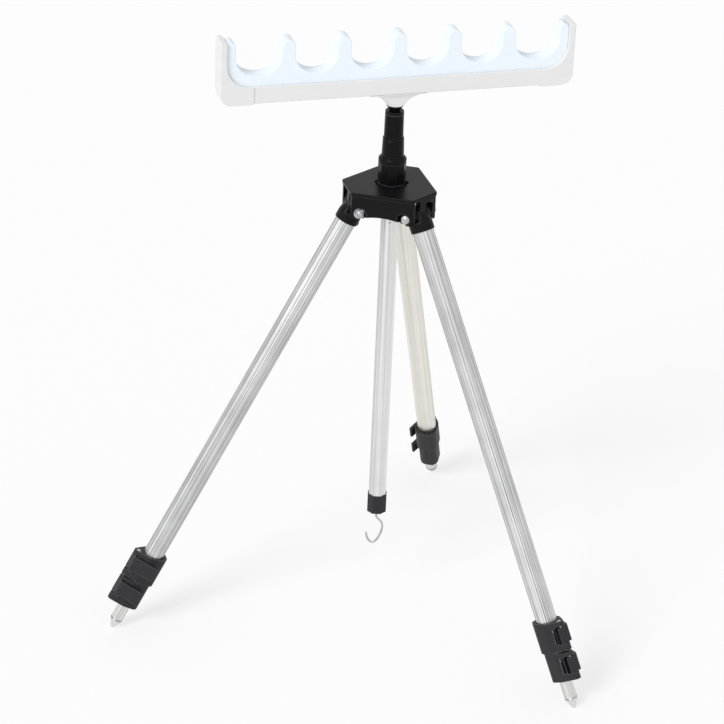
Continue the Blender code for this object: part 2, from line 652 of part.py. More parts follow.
def add_leg(name, place, meshes, root):
    location = (PIVOT_RADIUS * cos(place), PIVOT_RADIUS * sin(place), PIVOT_HEIGHT)
    bolt_frame = add_empty(name + "_pivot_axis", root, location, (-pi / 2, 0, place))
    leg = add_empty(name + "_leg_axis", root, location, (0, -LEG_LEAN, place))
    for piece in ("pivot_bolt", "pivot_nut"):
        add_part(name + "_" + piece, meshes[piece], bolt_frame)
    along = ("knuckle", "upper_tube", "middle_tube", "lower_tube", "middle_bush", "lower_bush", "foot")
    for piece in along:
        add_part(name + "_" + piece, meshes[piece], leg)
    for level, foot in (("upper", UPPER_LOCK_FOOT), ("lower", LOWER_LOCK_FOOT)):
        height = from_foot(foot)
        add_part(name + "_" + level + "_lock", meshes[level + "_lock"], leg, (0, 0, height))
        hinge = add_empty(name + "_" + level + "_lever_axis", leg, (PIN_REACH, 0, height))
        add_part(name + "_" + level + "_lever", meshes["lever"], hinge)
        add_part(name + "_" + level + "_lever_pin", meshes[level + "_pin"], hinge)


def make_mast_collar(material):
    """The black socket on top of the eight-sided tube, keyed into the hub by two lugs."""
    bore = across_octagon(OCTAGON_FLATS) + GAP
    tube_top = COLLAR_TOP - COLLAR_TOP_WALL
    foot = HUB_TOP + GAP
    body = turned([(COLLAR_RADIUS - 0.8 * MM, COLLAR_TOP), (COLLAR_RADIUS, COLLAR_TOP - 0.8 * MM),
                   (COLLAR_RADIUS, foot), (COLLAR_SPIGOT_RADIUS, foot),
                   (COLLAR_SPIGOT_RADIUS, HUB_TOP - COLLAR_SPIGOT), (bore, HUB_TOP - COLLAR_SPIGOT),
                   (bore, tube_top), (OCTAGON_BORE_RADIUS, tube_top),
                   (OCTAGON_BORE_RADIUS, COLLAR_TOP)], closed=True, steps=FINE_ROUND)
    lugs = []
    for side in (1, -1):
        ends = sorted((side * (bore + 0.5 * MM), side * COLLAR_LUG_REACH))
        low = HUB_TOP - HUB_PLATE + GAP
        lug = block((ends[0], -COLLAR_LUG_HALF_WIDTH, low),
                    (ends[1], COLLAR_LUG_HALF_WIDTH, HUB_TOP + COLLAR_LUG_HEIGHT))
        lugs.append(moved(lug, Matrix.Rotation(COLLAR_LUG_TURN, 4, "Z")))
    return shaped(joined(body, *lugs), material)


def make_centre_tube(material):
    low = CAP_FOOT + CAP_FLOOR + GAP
    high = COLLAR_TOP - COLLAR_TOP_WALL - GAP
    tube = rod(across_octagon(OCTAGON_FLATS), low, high, steps=8, turn=OCTAGON_TURN)
    return shaped(cut(tube, rod(OCTAGON_BORE_RADIUS, low - MM, high + MM, steps=FINE_ROUND)), material)


def make_end_cap(material):
    outer = across_octagon(OCTAGON_FLATS + 2 * (GAP + CAP_WALL))
    inner = across_octagon(OCTAGON_FLATS + 2 * GAP)
    body = rod(outer, CAP_FOOT, CAP_FOOT + CAP_HEIGHT, steps=8, turn=OCTAGON_TURN)
    hollow = rod(inner, CAP_FOOT + CAP_FLOOR, CAP_FOOT + CAP_HEIGHT + MM, steps=8, turn=OCTAGON_TURN)
    hole = rod(HOOK_WIRE_RADIUS + GAP, CAP_FOOT - MM, CAP_FOOT + CAP_FLOOR + MM, steps=12)
    return shaped(cut(body, hollow, hole), material)


def make_hook(material):
    """The wire hook, with the head that holds it in the cap."""
    head_foot = CAP_FOOT + CAP_FLOOR + GAP
    route = [Vector((x * MM, 0, z * MM)) for x, z in HOOK_ROUTE]
    route = [Vector((0, 0, head_foot + MM)), *smooth_route(route, 2)]
    curve = bpy.data.curves.new("hook", "CURVE")
    curve.dimensions = "3D"
    curve.bevel_depth = HOOK_WIRE_RADIUS
    curve.bevel_resolution = 1
    curve.use_fill_caps = True
    spline = curve.splines.new("POLY")
    spline.points.add(len(route) - 1)
    for point, place in zip(spline.points, route):
        point.co = (*place, 1)
    head = rod(HOOK_HEAD_RADIUS, head_foot, head_foot + HOOK_HEAD_HEIGHT, steps=16)
    return shaped(joined(head, meshed(curve)), material)


def make_mast_stage_collar(foot, height, foot_radius, top_radius, tube_radius, hole_radius, material):
    """A collar on the top end of a mast tube, with a hole in its roof for the next stage."""
    top = foot + height
    bore = tube_radius + GAP
    ceiling = top - COLLAR_ROOF
    profile = [(top_radius - 0.5 * MM, top), (top_radius, top - 0.5 * MM), (foot_radius, foot),
               (bore, foot), (bore, ceiling), (hole_radius, ceiling), (hole_radius, top)]
    return shaped(turned(profile, closed=True, steps=FINE_ROUND), material)


def make_neck(material):
    foot = TOP_COLLAR_TOP + GAP
    top = foot + NECK_HEIGHT
    stud = NECK_STUD_RADIUS
    profile = [(0, top + NECK_STUD_UP), (stud, top + NECK_STUD_UP), (stud, top), (NECK_TOP_RADIUS, top),
               (NECK_TOP_RADIUS, top - 0.8 * MM), (NECK_FOOT_RADIUS, foot), (stud, foot),
               (stud, foot - NECK_STUD_DOWN), (0, foot - NECK_STUD_DOWN)]
    return shaped(turned(profile), material)


def add_mast(root, plastic, aluminium, steel):
    hub_axis = add_empty("mast_axis", root)
    add_part("mast_collar", make_mast_collar(plastic), hub_axis)
    add_part("centre_tube", make_centre_tube(aluminium), hub_axis)
    add_part("centre_tube_cap", make_end_cap(plastic), hub_axis)
    add_part("weight_hook", make_hook(steel), add_empty("hook_axis", root))
    middle = add_empty("middle_mast_axis", root)
    middle_foot = COLLAR_TOP + GAP
    add_part("middle_mast_collar",
             make_mast_stage_collar(middle_foot, MIDDLE_COLLAR_HEIGHT, MIDDLE_COLLAR_FOOT_RADIUS,
                                    MIDDLE_COLLAR_TOP_RADIUS, MIDDLE_MAST_RADIUS,
                                    TOP_MAST_RADIUS + GAP, plastic), middle)
    add_part("middle_mast_tube", make_tube(MIDDLE_MAST_RADIUS, MAST_TUBE_WALL, MIDDLE_MAST_FOOT,
                                           MIDDLE_COLLAR_TOP - COLLAR_ROOF - GAP, aluminium), middle)
    top = add_empty("top_mast_axis", middle)
    add_part("top_mast_collar",
             make_mast_stage_collar(MIDDLE_COLLAR_TOP + GAP, TOP_COLLAR_HEIGHT, TOP_COLLAR_FOOT_RADIUS,
                                    TOP_COLLAR_TOP_RADIUS, TOP_MAST_RADIUS,
                                    NECK_STUD_RADIUS + GAP, plastic), top)
    add_part("top_mast_tube", make_tube(TOP_MAST_RADIUS, MAST_TUBE_WALL, TOP_MAST_FOOT,
                                        TOP_COLLAR_TOP - COLLAR_ROOF - GAP, aluminium), top)
    return top


def upright(obj):
    """Stands a flat outline up: its X stays, its Y becomes Z."""
    return moved(obj, Matrix.Rotation(pi / 2, 4, "X"))


def saddle_side(half_top, top):
    """Half of the saddle's outline, from the foot of its stem to its top, as a hollow curve."""
    foot = NECK_TOP + GAP
    rise = top - SADDLE_TIP - foot - 0.8 * MM
    side = arc((half_top, foot + 0.8 * MM), (half_top - SADDLE_STEM_RADIUS, rise), pi, pi / 2, 7)
    return [(SADDLE_STEM_RADIUS, foot), *side, (half_top, top)]


def make_saddle(material):
    top = COMB_FOOT - GAP
    front = saddle_side(SADDLE_HALF_LENGTH, top)
    side = saddle_side(SADDLE_HALF_DEPTH, top)
    front_outline = front + [(-x, z) for x, z in reversed(front)]
    side_outline = side + [(-x, z) for x, z in reversed(side)]
    body = upright(plate(front_outline, -SADDLE_HALF_DEPTH - MM, SADDLE_HALF_DEPTH + MM))
    across = moved(upright(plate(side_outline, -SADDLE_HALF_LENGTH - MM, SADDLE_HALF_LENGTH + MM)),
                   Matrix.Rotation(pi / 2, 4, "Z"))
    body = common(body, across)
    bore = rod(NECK_STUD_RADIUS + GAP, NECK_TOP - MM, NECK_TOP + NECK_STUD_UP + GAP)
    return shaped(cut(body, bore), material)


def make_channel(material):
    half = CHANNEL_HALF_LENGTH
    depth = CHANNEL_HALF_DEPTH
    body = block((-half, -depth, COMB_FOOT), (half, depth, COMB_FOOT + CHANNEL_HEIGHT))
    inner = depth - CHANNEL_WALL
    trough = block((-half - MM, -inner, COMB_FOOT + CHANNEL_FLOOR),
                   (half + MM, inner, COMB_FOOT + CHANNEL_HEIGHT + MM))
    return shaped(cut(body, trough), material)


def make_comb_end(material):
    """The right-hand end: an upright post with a round inner corner, open for the pad."""
    low = COMB_FOOT - END_DROP
    rail_top = COMB_FOOT + CHANNEL_HEIGHT
    top = COMB_FOOT + PAD_TOP + END_RISE
    start = CHANNEL_HALF_LENGTH + GAP
    far = COMB_HALF_LENGTH
    post = far - END_POST
    corner = arc((far - END_CORNER, low + END_CORNER), END_CORNER, -pi / 2, 0, 6)
    fillet = arc((post - END_FILLET, rail_top + END_FILLET), END_FILLET, 0, -pi / 2, 8)
    outline = [(start, low), *corner, (far, top - END_TIP_CHAMFER), (far - END_TIP_CHAMFER, top),
               (post, top), *fillet, (start, rail_top)]
    body = upright(plate(outline, -END_HALF_DEPTH, END_HALF_DEPTH))
    inner = CHANNEL_HALF_DEPTH - CHANNEL_WALL
    room = block((start - MM, -inner, COMB_FOOT + CHANNEL_FLOOR), (post, inner, top + MM))
    return shaped(cut(body, room), material)


def pad_fingers():
    """Each upright finger of the pad as its middle and half its width, from right to left."""
    teeth = [(i * TOOTH_PITCH, TOOTH_HALF_WIDTH) for i in (2, 1, 0, -1, -2)]
    lip = COMB_HALF_LENGTH - END_POST - GAP - LIP_HALF_WIDTH
    return [(lip, LIP_HALF_WIDTH), *teeth, (-lip, LIP_HALF_WIDTH)]


def make_pad(material):
    """The soft pad: one slab with six round-bottomed places for rods."""
    foot = COMB_FOOT + CHANNEL_FLOOR + GAP
    top = COMB_FOOT + PAD_TOP
    half = COMB_HALF_LENGTH - END_POST - GAP
    fingers = pad_fingers()
    outline = [(-half, foot), (half, foot)]
    for i, (middle, width) in enumerate(fingers):
        outline += arc((middle, top - width), width, 0, pi, 6)
        if i + 1 < len(fingers):
            right = middle - width
            left = fingers[i + 1][0] + fingers[i + 1][1]
            floor = COMB_FOOT + PAD_SCALLOP_FLOOR + PAD_SCALLOP_ROUND
            outline += arc(((left + right) / 2, floor), ((right - left) / 2, PAD_SCALLOP_ROUND), 0, -pi, 10)
    half_depth = CHANNEL_HALF_DEPTH - CHANNEL_WALL - GAP
    return shaped(upright(plate(outline, -half_depth, half_depth)), material)


def add_comb(parent, plastic, grey, foam):
    turn = add_empty("comb_axis", parent, rotation=(0, 0, COMB_TURN))
    add_part("comb_screw_neck", make_neck(plastic), turn)
    add_part("comb_saddle", make_saddle(grey), turn)
    add_part("comb_channel", make_channel(grey), turn)
    end = make_comb_end(grey)
    add_part("comb_right_end", end, turn)
    left_axis = add_empty("comb_left_end_axis", turn, rotation=(0, 0, pi))
    add_part("comb_left_end", end, left_axis)
    add_part("comb_pad", make_pad(foam), turn)


def centre_on_footprint(root):
    """Moves the whole stand so that the origin is under the middle of its outer box."""
    bpy.context.view_layer.update()
    graph = bpy.context.evaluated_depsgraph_get()
    corners = []
    for obj in parts.objects:
        if obj.type == "MESH":
            seen = obj.evaluated_get(graph)
            corners += [seen.matrix_world @ vertex.co for vertex in seen.data.vertices]
    low = [min(p[i] for p in corners) for i in range(3)]
    high = [max(p[i] for p in corners) for i in range(3)]
    root.location = (-(low[0] + high[0]) / 2, -(low[1] + high[1]) / 2, -low[2])
    bpy.context.view_layer.update()


def build():
    clear_scene()
    for collection in (parts, cutters):
        bpy.context.scene.collection.children.link(collection)
    plastic = make_material("black_plastic", (0.025, 0.025, 0.027), 0.5, 0.0)
    aluminium = make_material("anodised_aluminium", (0.78, 0.79, 0.80), 0.35, 1.0)
    steel = make_material("plated_steel", (0.72, 0.72, 0.74), 0.25, 1.0)
    grey = make_material("grey_plastic", (0.62, 0.62, 0.63), 0.5, 0.0)
    foam = make_material("pale_blue_foam", (0.72, 0.80, 0.92), 0.8, 0.0)
    root = add_empty("tripod_root")
    add_part("hub_body", make_hub(plastic), root)
    meshes = leg_meshes(plastic, aluminium, steel)
    for name, place in LEG_PLACES.items():
        add_leg(name, place, meshes, root)
    top_stage = add_mast(root, plastic, aluminium, steel)
    add_comb(top_stage, plastic, grey, foam)
    centre_on_footprint(root)


build()
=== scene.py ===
import bpy
import json
from math import cos, sin, tan, pi, radians, hypot
from mathutils import Matrix, Vector


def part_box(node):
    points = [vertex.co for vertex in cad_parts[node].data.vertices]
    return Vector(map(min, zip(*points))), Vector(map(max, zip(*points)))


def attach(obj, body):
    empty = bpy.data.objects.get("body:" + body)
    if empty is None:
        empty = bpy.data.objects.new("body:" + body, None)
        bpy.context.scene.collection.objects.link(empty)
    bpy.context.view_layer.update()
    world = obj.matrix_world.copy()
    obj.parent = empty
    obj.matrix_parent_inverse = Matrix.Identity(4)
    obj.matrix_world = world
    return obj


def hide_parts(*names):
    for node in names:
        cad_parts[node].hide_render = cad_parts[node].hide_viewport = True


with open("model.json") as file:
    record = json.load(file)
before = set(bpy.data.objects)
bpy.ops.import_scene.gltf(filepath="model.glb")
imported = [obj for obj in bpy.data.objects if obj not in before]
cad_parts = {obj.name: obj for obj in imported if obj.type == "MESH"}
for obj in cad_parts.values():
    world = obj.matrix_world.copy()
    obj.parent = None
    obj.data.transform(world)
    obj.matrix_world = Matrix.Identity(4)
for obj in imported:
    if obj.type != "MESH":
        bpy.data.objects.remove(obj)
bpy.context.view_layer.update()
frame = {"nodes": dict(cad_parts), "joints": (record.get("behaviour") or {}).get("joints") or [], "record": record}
record = frame["record"]
joints = {joint["name"]: joint for joint in frame["joints"]}
bodyOf = {node: body for body, nodes in record["behaviour"]["bodies"].items() for node in nodes}

# pieces are modelled in millimetres
gap = 0.3  # left between pieces that meet
overlap = 0.1  # by which joined solids reach into each other
past = 1.0  # by which a cutting tool reaches past the surface it cuts
beyond = 40.0  # the same where there is nothing else to reach

# places in millimetres: the mast's foot, with heights as in the CAD
hubTop = 503.6
mastSpot = Vector(joints["comb_turn"]["pos_m"]) * 1000
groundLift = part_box("hub_body")[1].z * 1000 - hubTop
mastPlace = Matrix.Translation((mastSpot.x, mastSpot.y, groundLift))


def legPlace(name):
    # origin on the pivot bolt, Z up the leg, Y along the bolt
    up = -Vector(joints[name + "_middle_slide"]["axis"]).normalized()
    bolt = Vector(joints[name + "_leg_fold"]["axis"]).normalized()
    out = bolt.cross(up)
    turn = Matrix((out, bolt, up)).transposed().to_4x4()
    return Matrix.Translation(Vector(joints[name + "_leg_fold"]["pos_m"]) * 1000) @ turn


legPlaces = {name: legPlace(name) for name in ("left", "right", "rear")}
pivotDrop = 23.0
pivotHeight = hubTop - pivotDrop
legUp = legPlaces["left"].to_3x3().col[2]
legLength = pivotHeight / legUp.z


def turned(angle, axis):
    return Matrix.Rotation(angle, 4, axis)


def shifted(x, y, z):
    return Matrix.Translation((x, y, z))


def deselect():
    bpy.ops.object.select_all(action="DESELECT")


def pickOnly(obj):
    deselect()
    obj.select_set(True)
    bpy.context.view_layer.objects.active = obj


def editParts(obj, kind, test):
    # edit mode, with only what passes the test selected
    pickOnly(obj)
    bpy.ops.object.mode_set(mode="EDIT")
    bpy.ops.mesh.select_mode(type=kind)
    bpy.ops.mesh.select_all(action="DESELECT")
    leaveEdit()
    lists = {"VERT": obj.data.vertices, "FACE": obj.data.polygons}
    for item in lists[kind]:
        item.select = test(item)
    bpy.ops.object.mode_set(mode="EDIT")


def leaveEdit():
    bpy.ops.object.mode_set(mode="OBJECT")


def useModifier(obj, kind, **settings):
    pickOnly(obj)
    bpy.ops.object.modifier_add(type=kind)
    modifier = obj.modifiers[-1]
    for key, value in settings.items():
        setattr(modifier, key, value)
    bpy.ops.object.modifier_apply(modifier=modifier.name)


def combine(piece, operation, tools):
    for tool in tools:
        useModifier(piece, "BOOLEAN", operation=operation, solver="EXACT", object=tool)
        bpy.data.objects.remove(tool)
    return piece


def cut(piece, *tools):
    return combine(piece, "DIFFERENCE", tools)


def fuse(piece, *tools):
    return combine(piece, "UNION", tools)


def keepInside(piece, *tools):
    return combine(piece, "INTERSECT", tools)


def moved(obj, *matrices):
    pickOnly(obj)
    for matrix in reversed(matrices):
        obj.matrix_world = matrix @ obj.matrix_world
    bpy.ops.object.transform_apply(location=True, rotation=True, scale=True)
    return obj


def standUp(piece):
    return moved(piece, turned(pi / 2, "X"))


def addBar(radius, low, high, sides=64, turn=0.0):
    deselect()
    bpy.ops.mesh.primitive_cone_add(vertices=sides, radius1=radius, radius2=radius, depth=high - low,
                                    location=(0, 0, (low + high) / 2), rotation=(0, 0, turn))
    return moved(bpy.context.object)


def addBlock(low, high):
    middle = [(a + b) / 2 for a, b in zip(low, high)]
    size = [b - a for a, b in zip(low, high)]
    deselect()
    bpy.ops.mesh.primitive_cube_add(size=1, location=middle, scale=size)
    return moved(bpy.context.object)


def addBall(radius, place, sides):
    deselect()
    bpy.ops.mesh.primitive_uv_sphere_add(segments=sides, ring_count=sides // 2, radius=radius)
    return moved(bpy.context.object, place)


def drawLine(points):
    # one vertex, extruded from point to point
    deselect()
    bpy.ops.mesh.primitive_plane_add(size=1, location=points[0])
    line = moved(bpy.context.object)
    bpy.ops.object.mode_set(mode="EDIT")
    bpy.ops.mesh.select_all(action="SELECT")
    bpy.ops.mesh.merge(type="CENTER")
    for start, end in zip(points, points[1:]):
        step = Vector(end) - Vector(start)
        bpy.ops.mesh.extrude_vertices_move(TRANSFORM_OT_translate={"value": step})
    return line


def joinDoubles():
    bpy.ops.mesh.select_all(action="SELECT")
    bpy.ops.mesh.remove_doubles(threshold=0.001)


def faceOutward():
    bpy.ops.mesh.select_all(action="SELECT")
    bpy.ops.mesh.normals_make_consistent(inside=False)
    leaveEdit()


def spinRound(profile, steps=64, close=False):
    # (radius, height) points spun about the upright axis
    points = [(radius, 0, height) for radius, height in profile]
    piece = drawLine(points + points[:1] if close else points)
    bpy.ops.mesh.select_all(action="SELECT")
    bpy.ops.mesh.spin(steps=steps, angle=2 * pi, center=(0, 0, 0), axis=(0, 0, 1))
    joinDoubles()
    faceOutward()
    return piece


def raiseOutline(outline, low, high):
    # a closed flat outline, filled and pulled up
    points = [(x, y, low) for x, y in outline]
    piece = drawLine(points + points[:1])
    joinDoubles()
    bpy.ops.mesh.edge_face_add()
    bpy.ops.mesh.extrude_region_move(TRANSFORM_OT_translate={"value": (0, 0, high - low)})
    faceOutward()
    return piece


def roundOff(points, corners, steps):
    # an outline with arcs of these radii at its corners
    radii = corners if isinstance(corners, list) else [corners] * len(points)
    outline = []
    for i, radius in enumerate(radii):
        spot = Vector(points[i])
        back = (Vector(points[i - 1]) - spot).normalized()
        ahead = (Vector(points[(i + 1) % len(points)]) - spot).normalized()
        if not radius:
            outline.append(tuple(spot))
            continue
        half = back.angle(ahead) / 2
        middle = spot + (back + ahead).normalized() * radius / sin(half)
        first = spot + back * radius / tan(half) - middle
        last = spot + ahead * radius / tan(half) - middle
        sweep = first.angle_signed(last)
        for step in range(steps + 1):
            turn = -sweep * step / steps
            outline.append((middle.x + first.x * cos(turn) - first.y * sin(turn),
                            middle.y + first.x * sin(turn) + first.y * cos(turn)))
    return outline


def arc(centre, radius, start, end, steps):
    across, up = radius if isinstance(radius, tuple) else (radius, radius)
    angles = [start + (end - start) * i / steps for i in range(steps + 1)]
    return [(centre[0] + across * cos(a), centre[1] + up * sin(a)) for a in angles]


def hullOf(circles, steps):
    # an outline drawn tight round (x, y, radius) circles
    outline = []
    for i in range(steps):
        x0, y0 = cos(2 * pi * i / steps), sin(2 * pi * i / steps)
        x, y, radius = max(circles, key=lambda c: c[0] * x0 + c[1] * y0 + c[2])
        outline.append((x + radius * x0, y + radius * y0))
    return outline


def offsets(x, y, steps):
    # a stretch of an outline, given by its steps away from one point
    return [(x + across, y + up) for across, up in steps]


def softEdges(obj, width, segments=2, angle=60):
    useModifier(obj, "BEVEL", width=width, segments=segments, limit_method="ANGLE",
                angle_limit=radians(angle), use_clamp_overlap=True)
    return obj


def copyOf(obj):
    pickOnly(obj)
    bpy.ops.object.duplicate()
    return bpy.context.object


def wear(piece, finish):
    piece.data.materials.clear()
    piece.data.materials.append(finish)


def settle(piece, node, place, finish):
    # a finished piece goes where its CAD node is, and stands for it
    moved(piece, Matrix.Scale(0.001, 4), place)
    bpy.ops.object.shade_smooth_by_angle(angle=radians(38))
    useModifier(piece, "WEIGHTED_NORMAL", keep_sharp=True)
    words = node.split("_")
    piece.name = words[0] + "".join(word.capitalize() for word in words[1:])
    wear(piece, finish)
    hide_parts(node)
    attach(piece, bodyOf[node])
    return piece


def settleOnLegs(piece, ending, place, finish):
    # one copy on each leg, at this place on it
    for name, leg in legPlaces.items():
        ownFinish = finish[name] if isinstance(finish, dict) else finish
        settle(copyOf(piece), name + "_" + ending, leg @ place, ownFinish)
    bpy.data.objects.remove(piece)


# finishes
class Link:
    # a shader value; sums and products of these add Math nodes
    def __init__(self, owner, socket):
        self.owner = owner
        self.socket = socket

    def math(self, operation, first, second):
        return self.owner.node("Math", {0: first, 1: second}, operation=operation)

    def __add__(self, other):
        return self.math("ADD", self, other)

    def __radd__(self, other):
        return self.math("ADD", other, self)

    def __rsub__(self, other):
        return self.math("SUBTRACT", other, self)

    def __mul__(self, other):
        return self.math("MULTIPLY", self, other)


class Nodes:
    # adds nodes to one tree, of a material or of the world
    def __init__(self, tree):
        self.tree = tree

    def feed(self, socket, value):
        if isinstance(value, Link):
            self.tree.links.new(value.socket, socket)
        else:
            socket.default_value = value

    def node(self, kind, sockets=None, output=0, **settings):
        made = self.tree.nodes.new("ShaderNode" + kind)
        for key, value in settings.items():
            setattr(made, key, value)
        for key, value in (sockets or {}).items():
            self.feed(made.inputs[key], value)
        return Link(self, made.outputs[output])

    def seen(self):
        # 1 for what the camera sees straight, in a mirror or through glass
        camera, mirror, glass = (self.node("LightPath", output=ray) for ray in
                                 ("Is Camera Ray", "Is Glossy Ray", "Is Transmission Ray"))
        return camera + mirror + glass


class Finish(Nodes):
    def __init__(self, name, colour, roughness, metallic=0.0):
        self.material = bpy.data.materials.new(name)
        self.material.use_nodes = True
        super().__init__(self.material.node_tree)
        self.shader = self.tree.nodes["Principled BSDF"]
        self.set("Base Color", (*colour, 1))
        self.set("Roughness", roughness)
        self.set("Metallic", metallic)

    def set(self, key, value):
        self.feed(self.shader.inputs[key], value)

    def spot(self, turn=None, scale=(1, 1, 1)):
        # the piece's own coordinates, turned first and then stretched
        place = self.node("TexCoord", output="Object")
        if turn is not None:
            place = self.node("Mapping", {"Vector": place, "Rotation": turn})
        return self.node("Mapping", {"Vector": place, "Scale": scale})

    def noise(self, place, scale, detail, roughness=0.5):
        return self.node("TexNoise", {"Vector": place, "Scale": scale, "Detail": detail,
                                      "Roughness": roughness})

    def between(self, share, first, second):
        first, second = (colour if isinstance(colour, Link) else (*colour, 1) for colour in (first, second))
        return self.node("Mix", {0: share, 6: first, 7: second}, 2, data_type="RGBA")

    def tint(self, share, look):
        self.set("Base Color", self.between(share, look["dark"], look["pale"]))

    def relief(self, height, look):
        self.set("Normal", self.node("Bump", {"Height": height, "Distance": look["depth"], "Strength": 1.0}))

    def range(self, value, low, high):
        return self.node("MapRange", {"Value": value, "From Min": low, "From Max": high})

    def wornAndHighlitEdges(self, width):
        # 1 where the surface turns within this width, 0 on its flat or evenly curved parts; it places edge wear
        # and a painted highlight
        least, most = 0.01, 0.16
        rounded = self.node("Bevel", {"Radius": width}, samples=6)
        normal = self.node("NewGeometry", output="Normal")
        same = self.node("VectorMath", {0: rounded, 1: normal}, "Value", operation="DOT_PRODUCT")
        return self.range(1 - same, least, most)


def mouldedBlack(name, look):
    # black moulded plastic: fine spark grain, flow marks, edges painted paler, partly as edge wear and partly as a
    # painted highlight
    finish = Finish(name, look["dark"], look["roughness"])
    finish.set("IOR", look["ior"])
    place = finish.spot()
    fine = finish.noise(place, look["grainSize"], 3.0, 0.6)
    flow = finish.noise(place, look["flowSize"], 4.0, 0.55)
    body = finish.between(flow * 0.6 + fine * 0.4, look["dark"], look["pale"])
    # the edge colour is partly edge wear and partly a painted highlight along the edges
    finish.set("Base Color", finish.between(finish.wornAndHighlitEdges(look["edgeWidth"]), body, look["edge"]))
    finish.set("Roughness", look["roughness"] - 0.1 + flow * 0.16 + fine * 0.1)
    finish.relief(fine + flow * 0.3, look)
    return finish.material


def drawnAluminium(name, turn, look):
    # anodised tube: dark and pale streaks along it, partly drawn marks and partly painted reflection, fine die
    # lines and handling marks
    finish = Finish(name, look["pale"], 0.35, 1.0)
    broad, fine, spread = look["broad"], look["fine"], look["spread"]
    # the broad dark and pale streaks are partly drawn marks and partly painted reflection
    streaksAndReflection = finish.noise(finish.spot(turn, (broad, broad, 1.5)), 1.0, 2.0, 0.6)
    lines = finish.noise(finish.spot(turn, (fine, fine, 9)), 1.0, 3.0)
    cloud = finish.noise(finish.spot(), 35, 3.0)
    share = finish.range(streaksAndReflection * 0.62 + lines * 0.28 + cloud * 0.1, 0.5 - spread, 0.5 + spread)
    finish.tint(share, look)
    finish.set("Roughness", 0.25 + lines * 0.14 + cloud * 0.1)
    finish.relief(lines, look)
    return finish.material


def platedSteel():
    # bolts, pins and the hook
    look = {"dark": (0.36, 0.36, 0.37), "pale": (0.66, 0.66, 0.67), "markSize": 900, "depth": 0.000015}
    finish = Finish("platedSteel", look["pale"], 0.22, 1.0)
    marks = finish.noise(finish.spot(), look["markSize"], 4.0, 0.6)
    cloud = finish.noise(finish.spot(), 160, 2.0)
    finish.tint(cloud, look)
    finish.set("Roughness", 0.14 + marks * 0.16 + cloud * 0.08)
    finish.relief(marks, look)
    return finish.material


def brightEnd():
    # the polished steel of the foot's point
    look = {"dark": (0.58, 0.58, 0.59), "pale": (0.86, 0.86, 0.86), "markSize": 700, "depth": 0.00001}
    finish = Finish("brightEnd", look["pale"], 0.3, 1.0)
    marks = finish.noise(finish.spot(), look["markSize"], 4.0, 0.6)
    finish.tint(marks, look)
    finish.set("Roughness", 0.22 + marks * 0.2)
    finish.relief(marks, look)
    return finish.material


def paleCombPlastic():
    look = {"dark": (0.74, 0.74, 0.74), "pale": (0.81, 0.81, 0.81), "grainSize": 1500, "depth": 0.00002}
    finish = Finish("paleCombPlastic", look["pale"], 0.45)
    grain = finish.noise(finish.spot(), look["grainSize"], 2.0)
    flow = finish.noise(finish.spot(scale=(1, 1, 3)), 22, 3.0)
    finish.tint(flow * 0.8 + grain * 0.2, look)
    finish.set("Roughness", 0.38 + flow * 0.14 + grain * 0.06)
    finish.relief(grain, look)
    return finish.material


def closedFoam():
    # pale blue closed-cell foam: skin of small cells, with pits on the cut faces
    look = {"dark": (0.77, 0.85, 0.93), "pale": (0.87, 0.93, 0.98), "cellSize": 1100, "depth": 0.00012}
    finish = Finish("closedFoam", look["pale"], 0.85)
    place = finish.spot()
    cells = finish.node("TexVoronoi", {"Vector": place, "Scale": look["cellSize"]}, feature="F1")
    pits = finish.noise(place, 520, 3.0, 0.65)
    cloud = finish.noise(place, 30, 3.0)
    finish.tint(cloud * 0.6 + cells * 0.6, look)
    finish.set("Roughness", 0.74 + cells * 0.2)
    finish.relief(cells * 0.6 + pits * 0.7, look)
    return finish.material


blackLooks = {
    "lockPlastic": {"dark": (0.009, 0.009, 0.010), "pale": (0.036, 0.036, 0.039), "edge": (0.13, 0.13, 0.135),
                    "roughness": 0.48, "ior": 1.30, "grainSize": 1700, "flowSize": 60, "edgeWidth": 0.0009,
                    "depth": 0.00003},
    "hubPlastic": {"dark": (0.002, 0.002, 0.0023), "pale": (0.010, 0.010, 0.011), "edge": (0.1, 0.1, 0.105),
                   "roughness": 0.32, "ior": 1.20, "grainSize": 1500, "flowSize": 80, "edgeWidth": 0.0009,
                   "depth": 0.00002},
    "mastPlastic": {"dark": (0.002, 0.002, 0.0023), "pale": (0.008, 0.008, 0.009), "edge": (0.1, 0.1, 0.105),
                    "roughness": 0.22, "ior": 1.18, "grainSize": 1400, "flowSize": 50, "edgeWidth": 0.0008,
                    "depth": 0.00001}}
lockPlastic, hubPlastic, mastPlastic = (mouldedBlack(name, look) for name, look in blackLooks.items())
steelFinish = platedSteel()
endFinish = brightEnd()
combFinish = paleCombPlastic()
foamFinish = closedFoam()
tubeLook = {"dark": (0.24, 0.24, 0.25), "pale": (0.90, 0.90, 0.90), "broad": 620, "fine": 1700,
            "spread": 0.15, "depth": 0.00002}
mastLook = {**tubeLook, "dark": (0.56, 0.56, 0.57)}
# the rear leg's copy of the tube finish is painted paler and creamier, as painted light on that leg
legLooks = {"left": tubeLook, "right": tubeLook,
            "rear": {**tubeLook, "dark": (0.62, 0.60, 0.55), "pale": (0.94, 0.92, 0.86)}}
endLook = {**tubeLook, "dark": (0.46, 0.46, 0.46), "pale": (0.90, 0.90, 0.89)}
mastAluminium = drawnAluminium("mastAluminium", (0, 0, 0), mastLook)
legAluminium = {}
endAluminium = {}
for name, place in legPlaces.items():
    unturn = tuple(place.to_3x3().inverted().to_euler())
    legAluminium[name] = drawnAluminium(name + "LegAluminium", unturn, legLooks[name])
    endAluminium[name] = drawnAluminium(name + "EndAluminium", unturn, endLook)
print("finishes made")


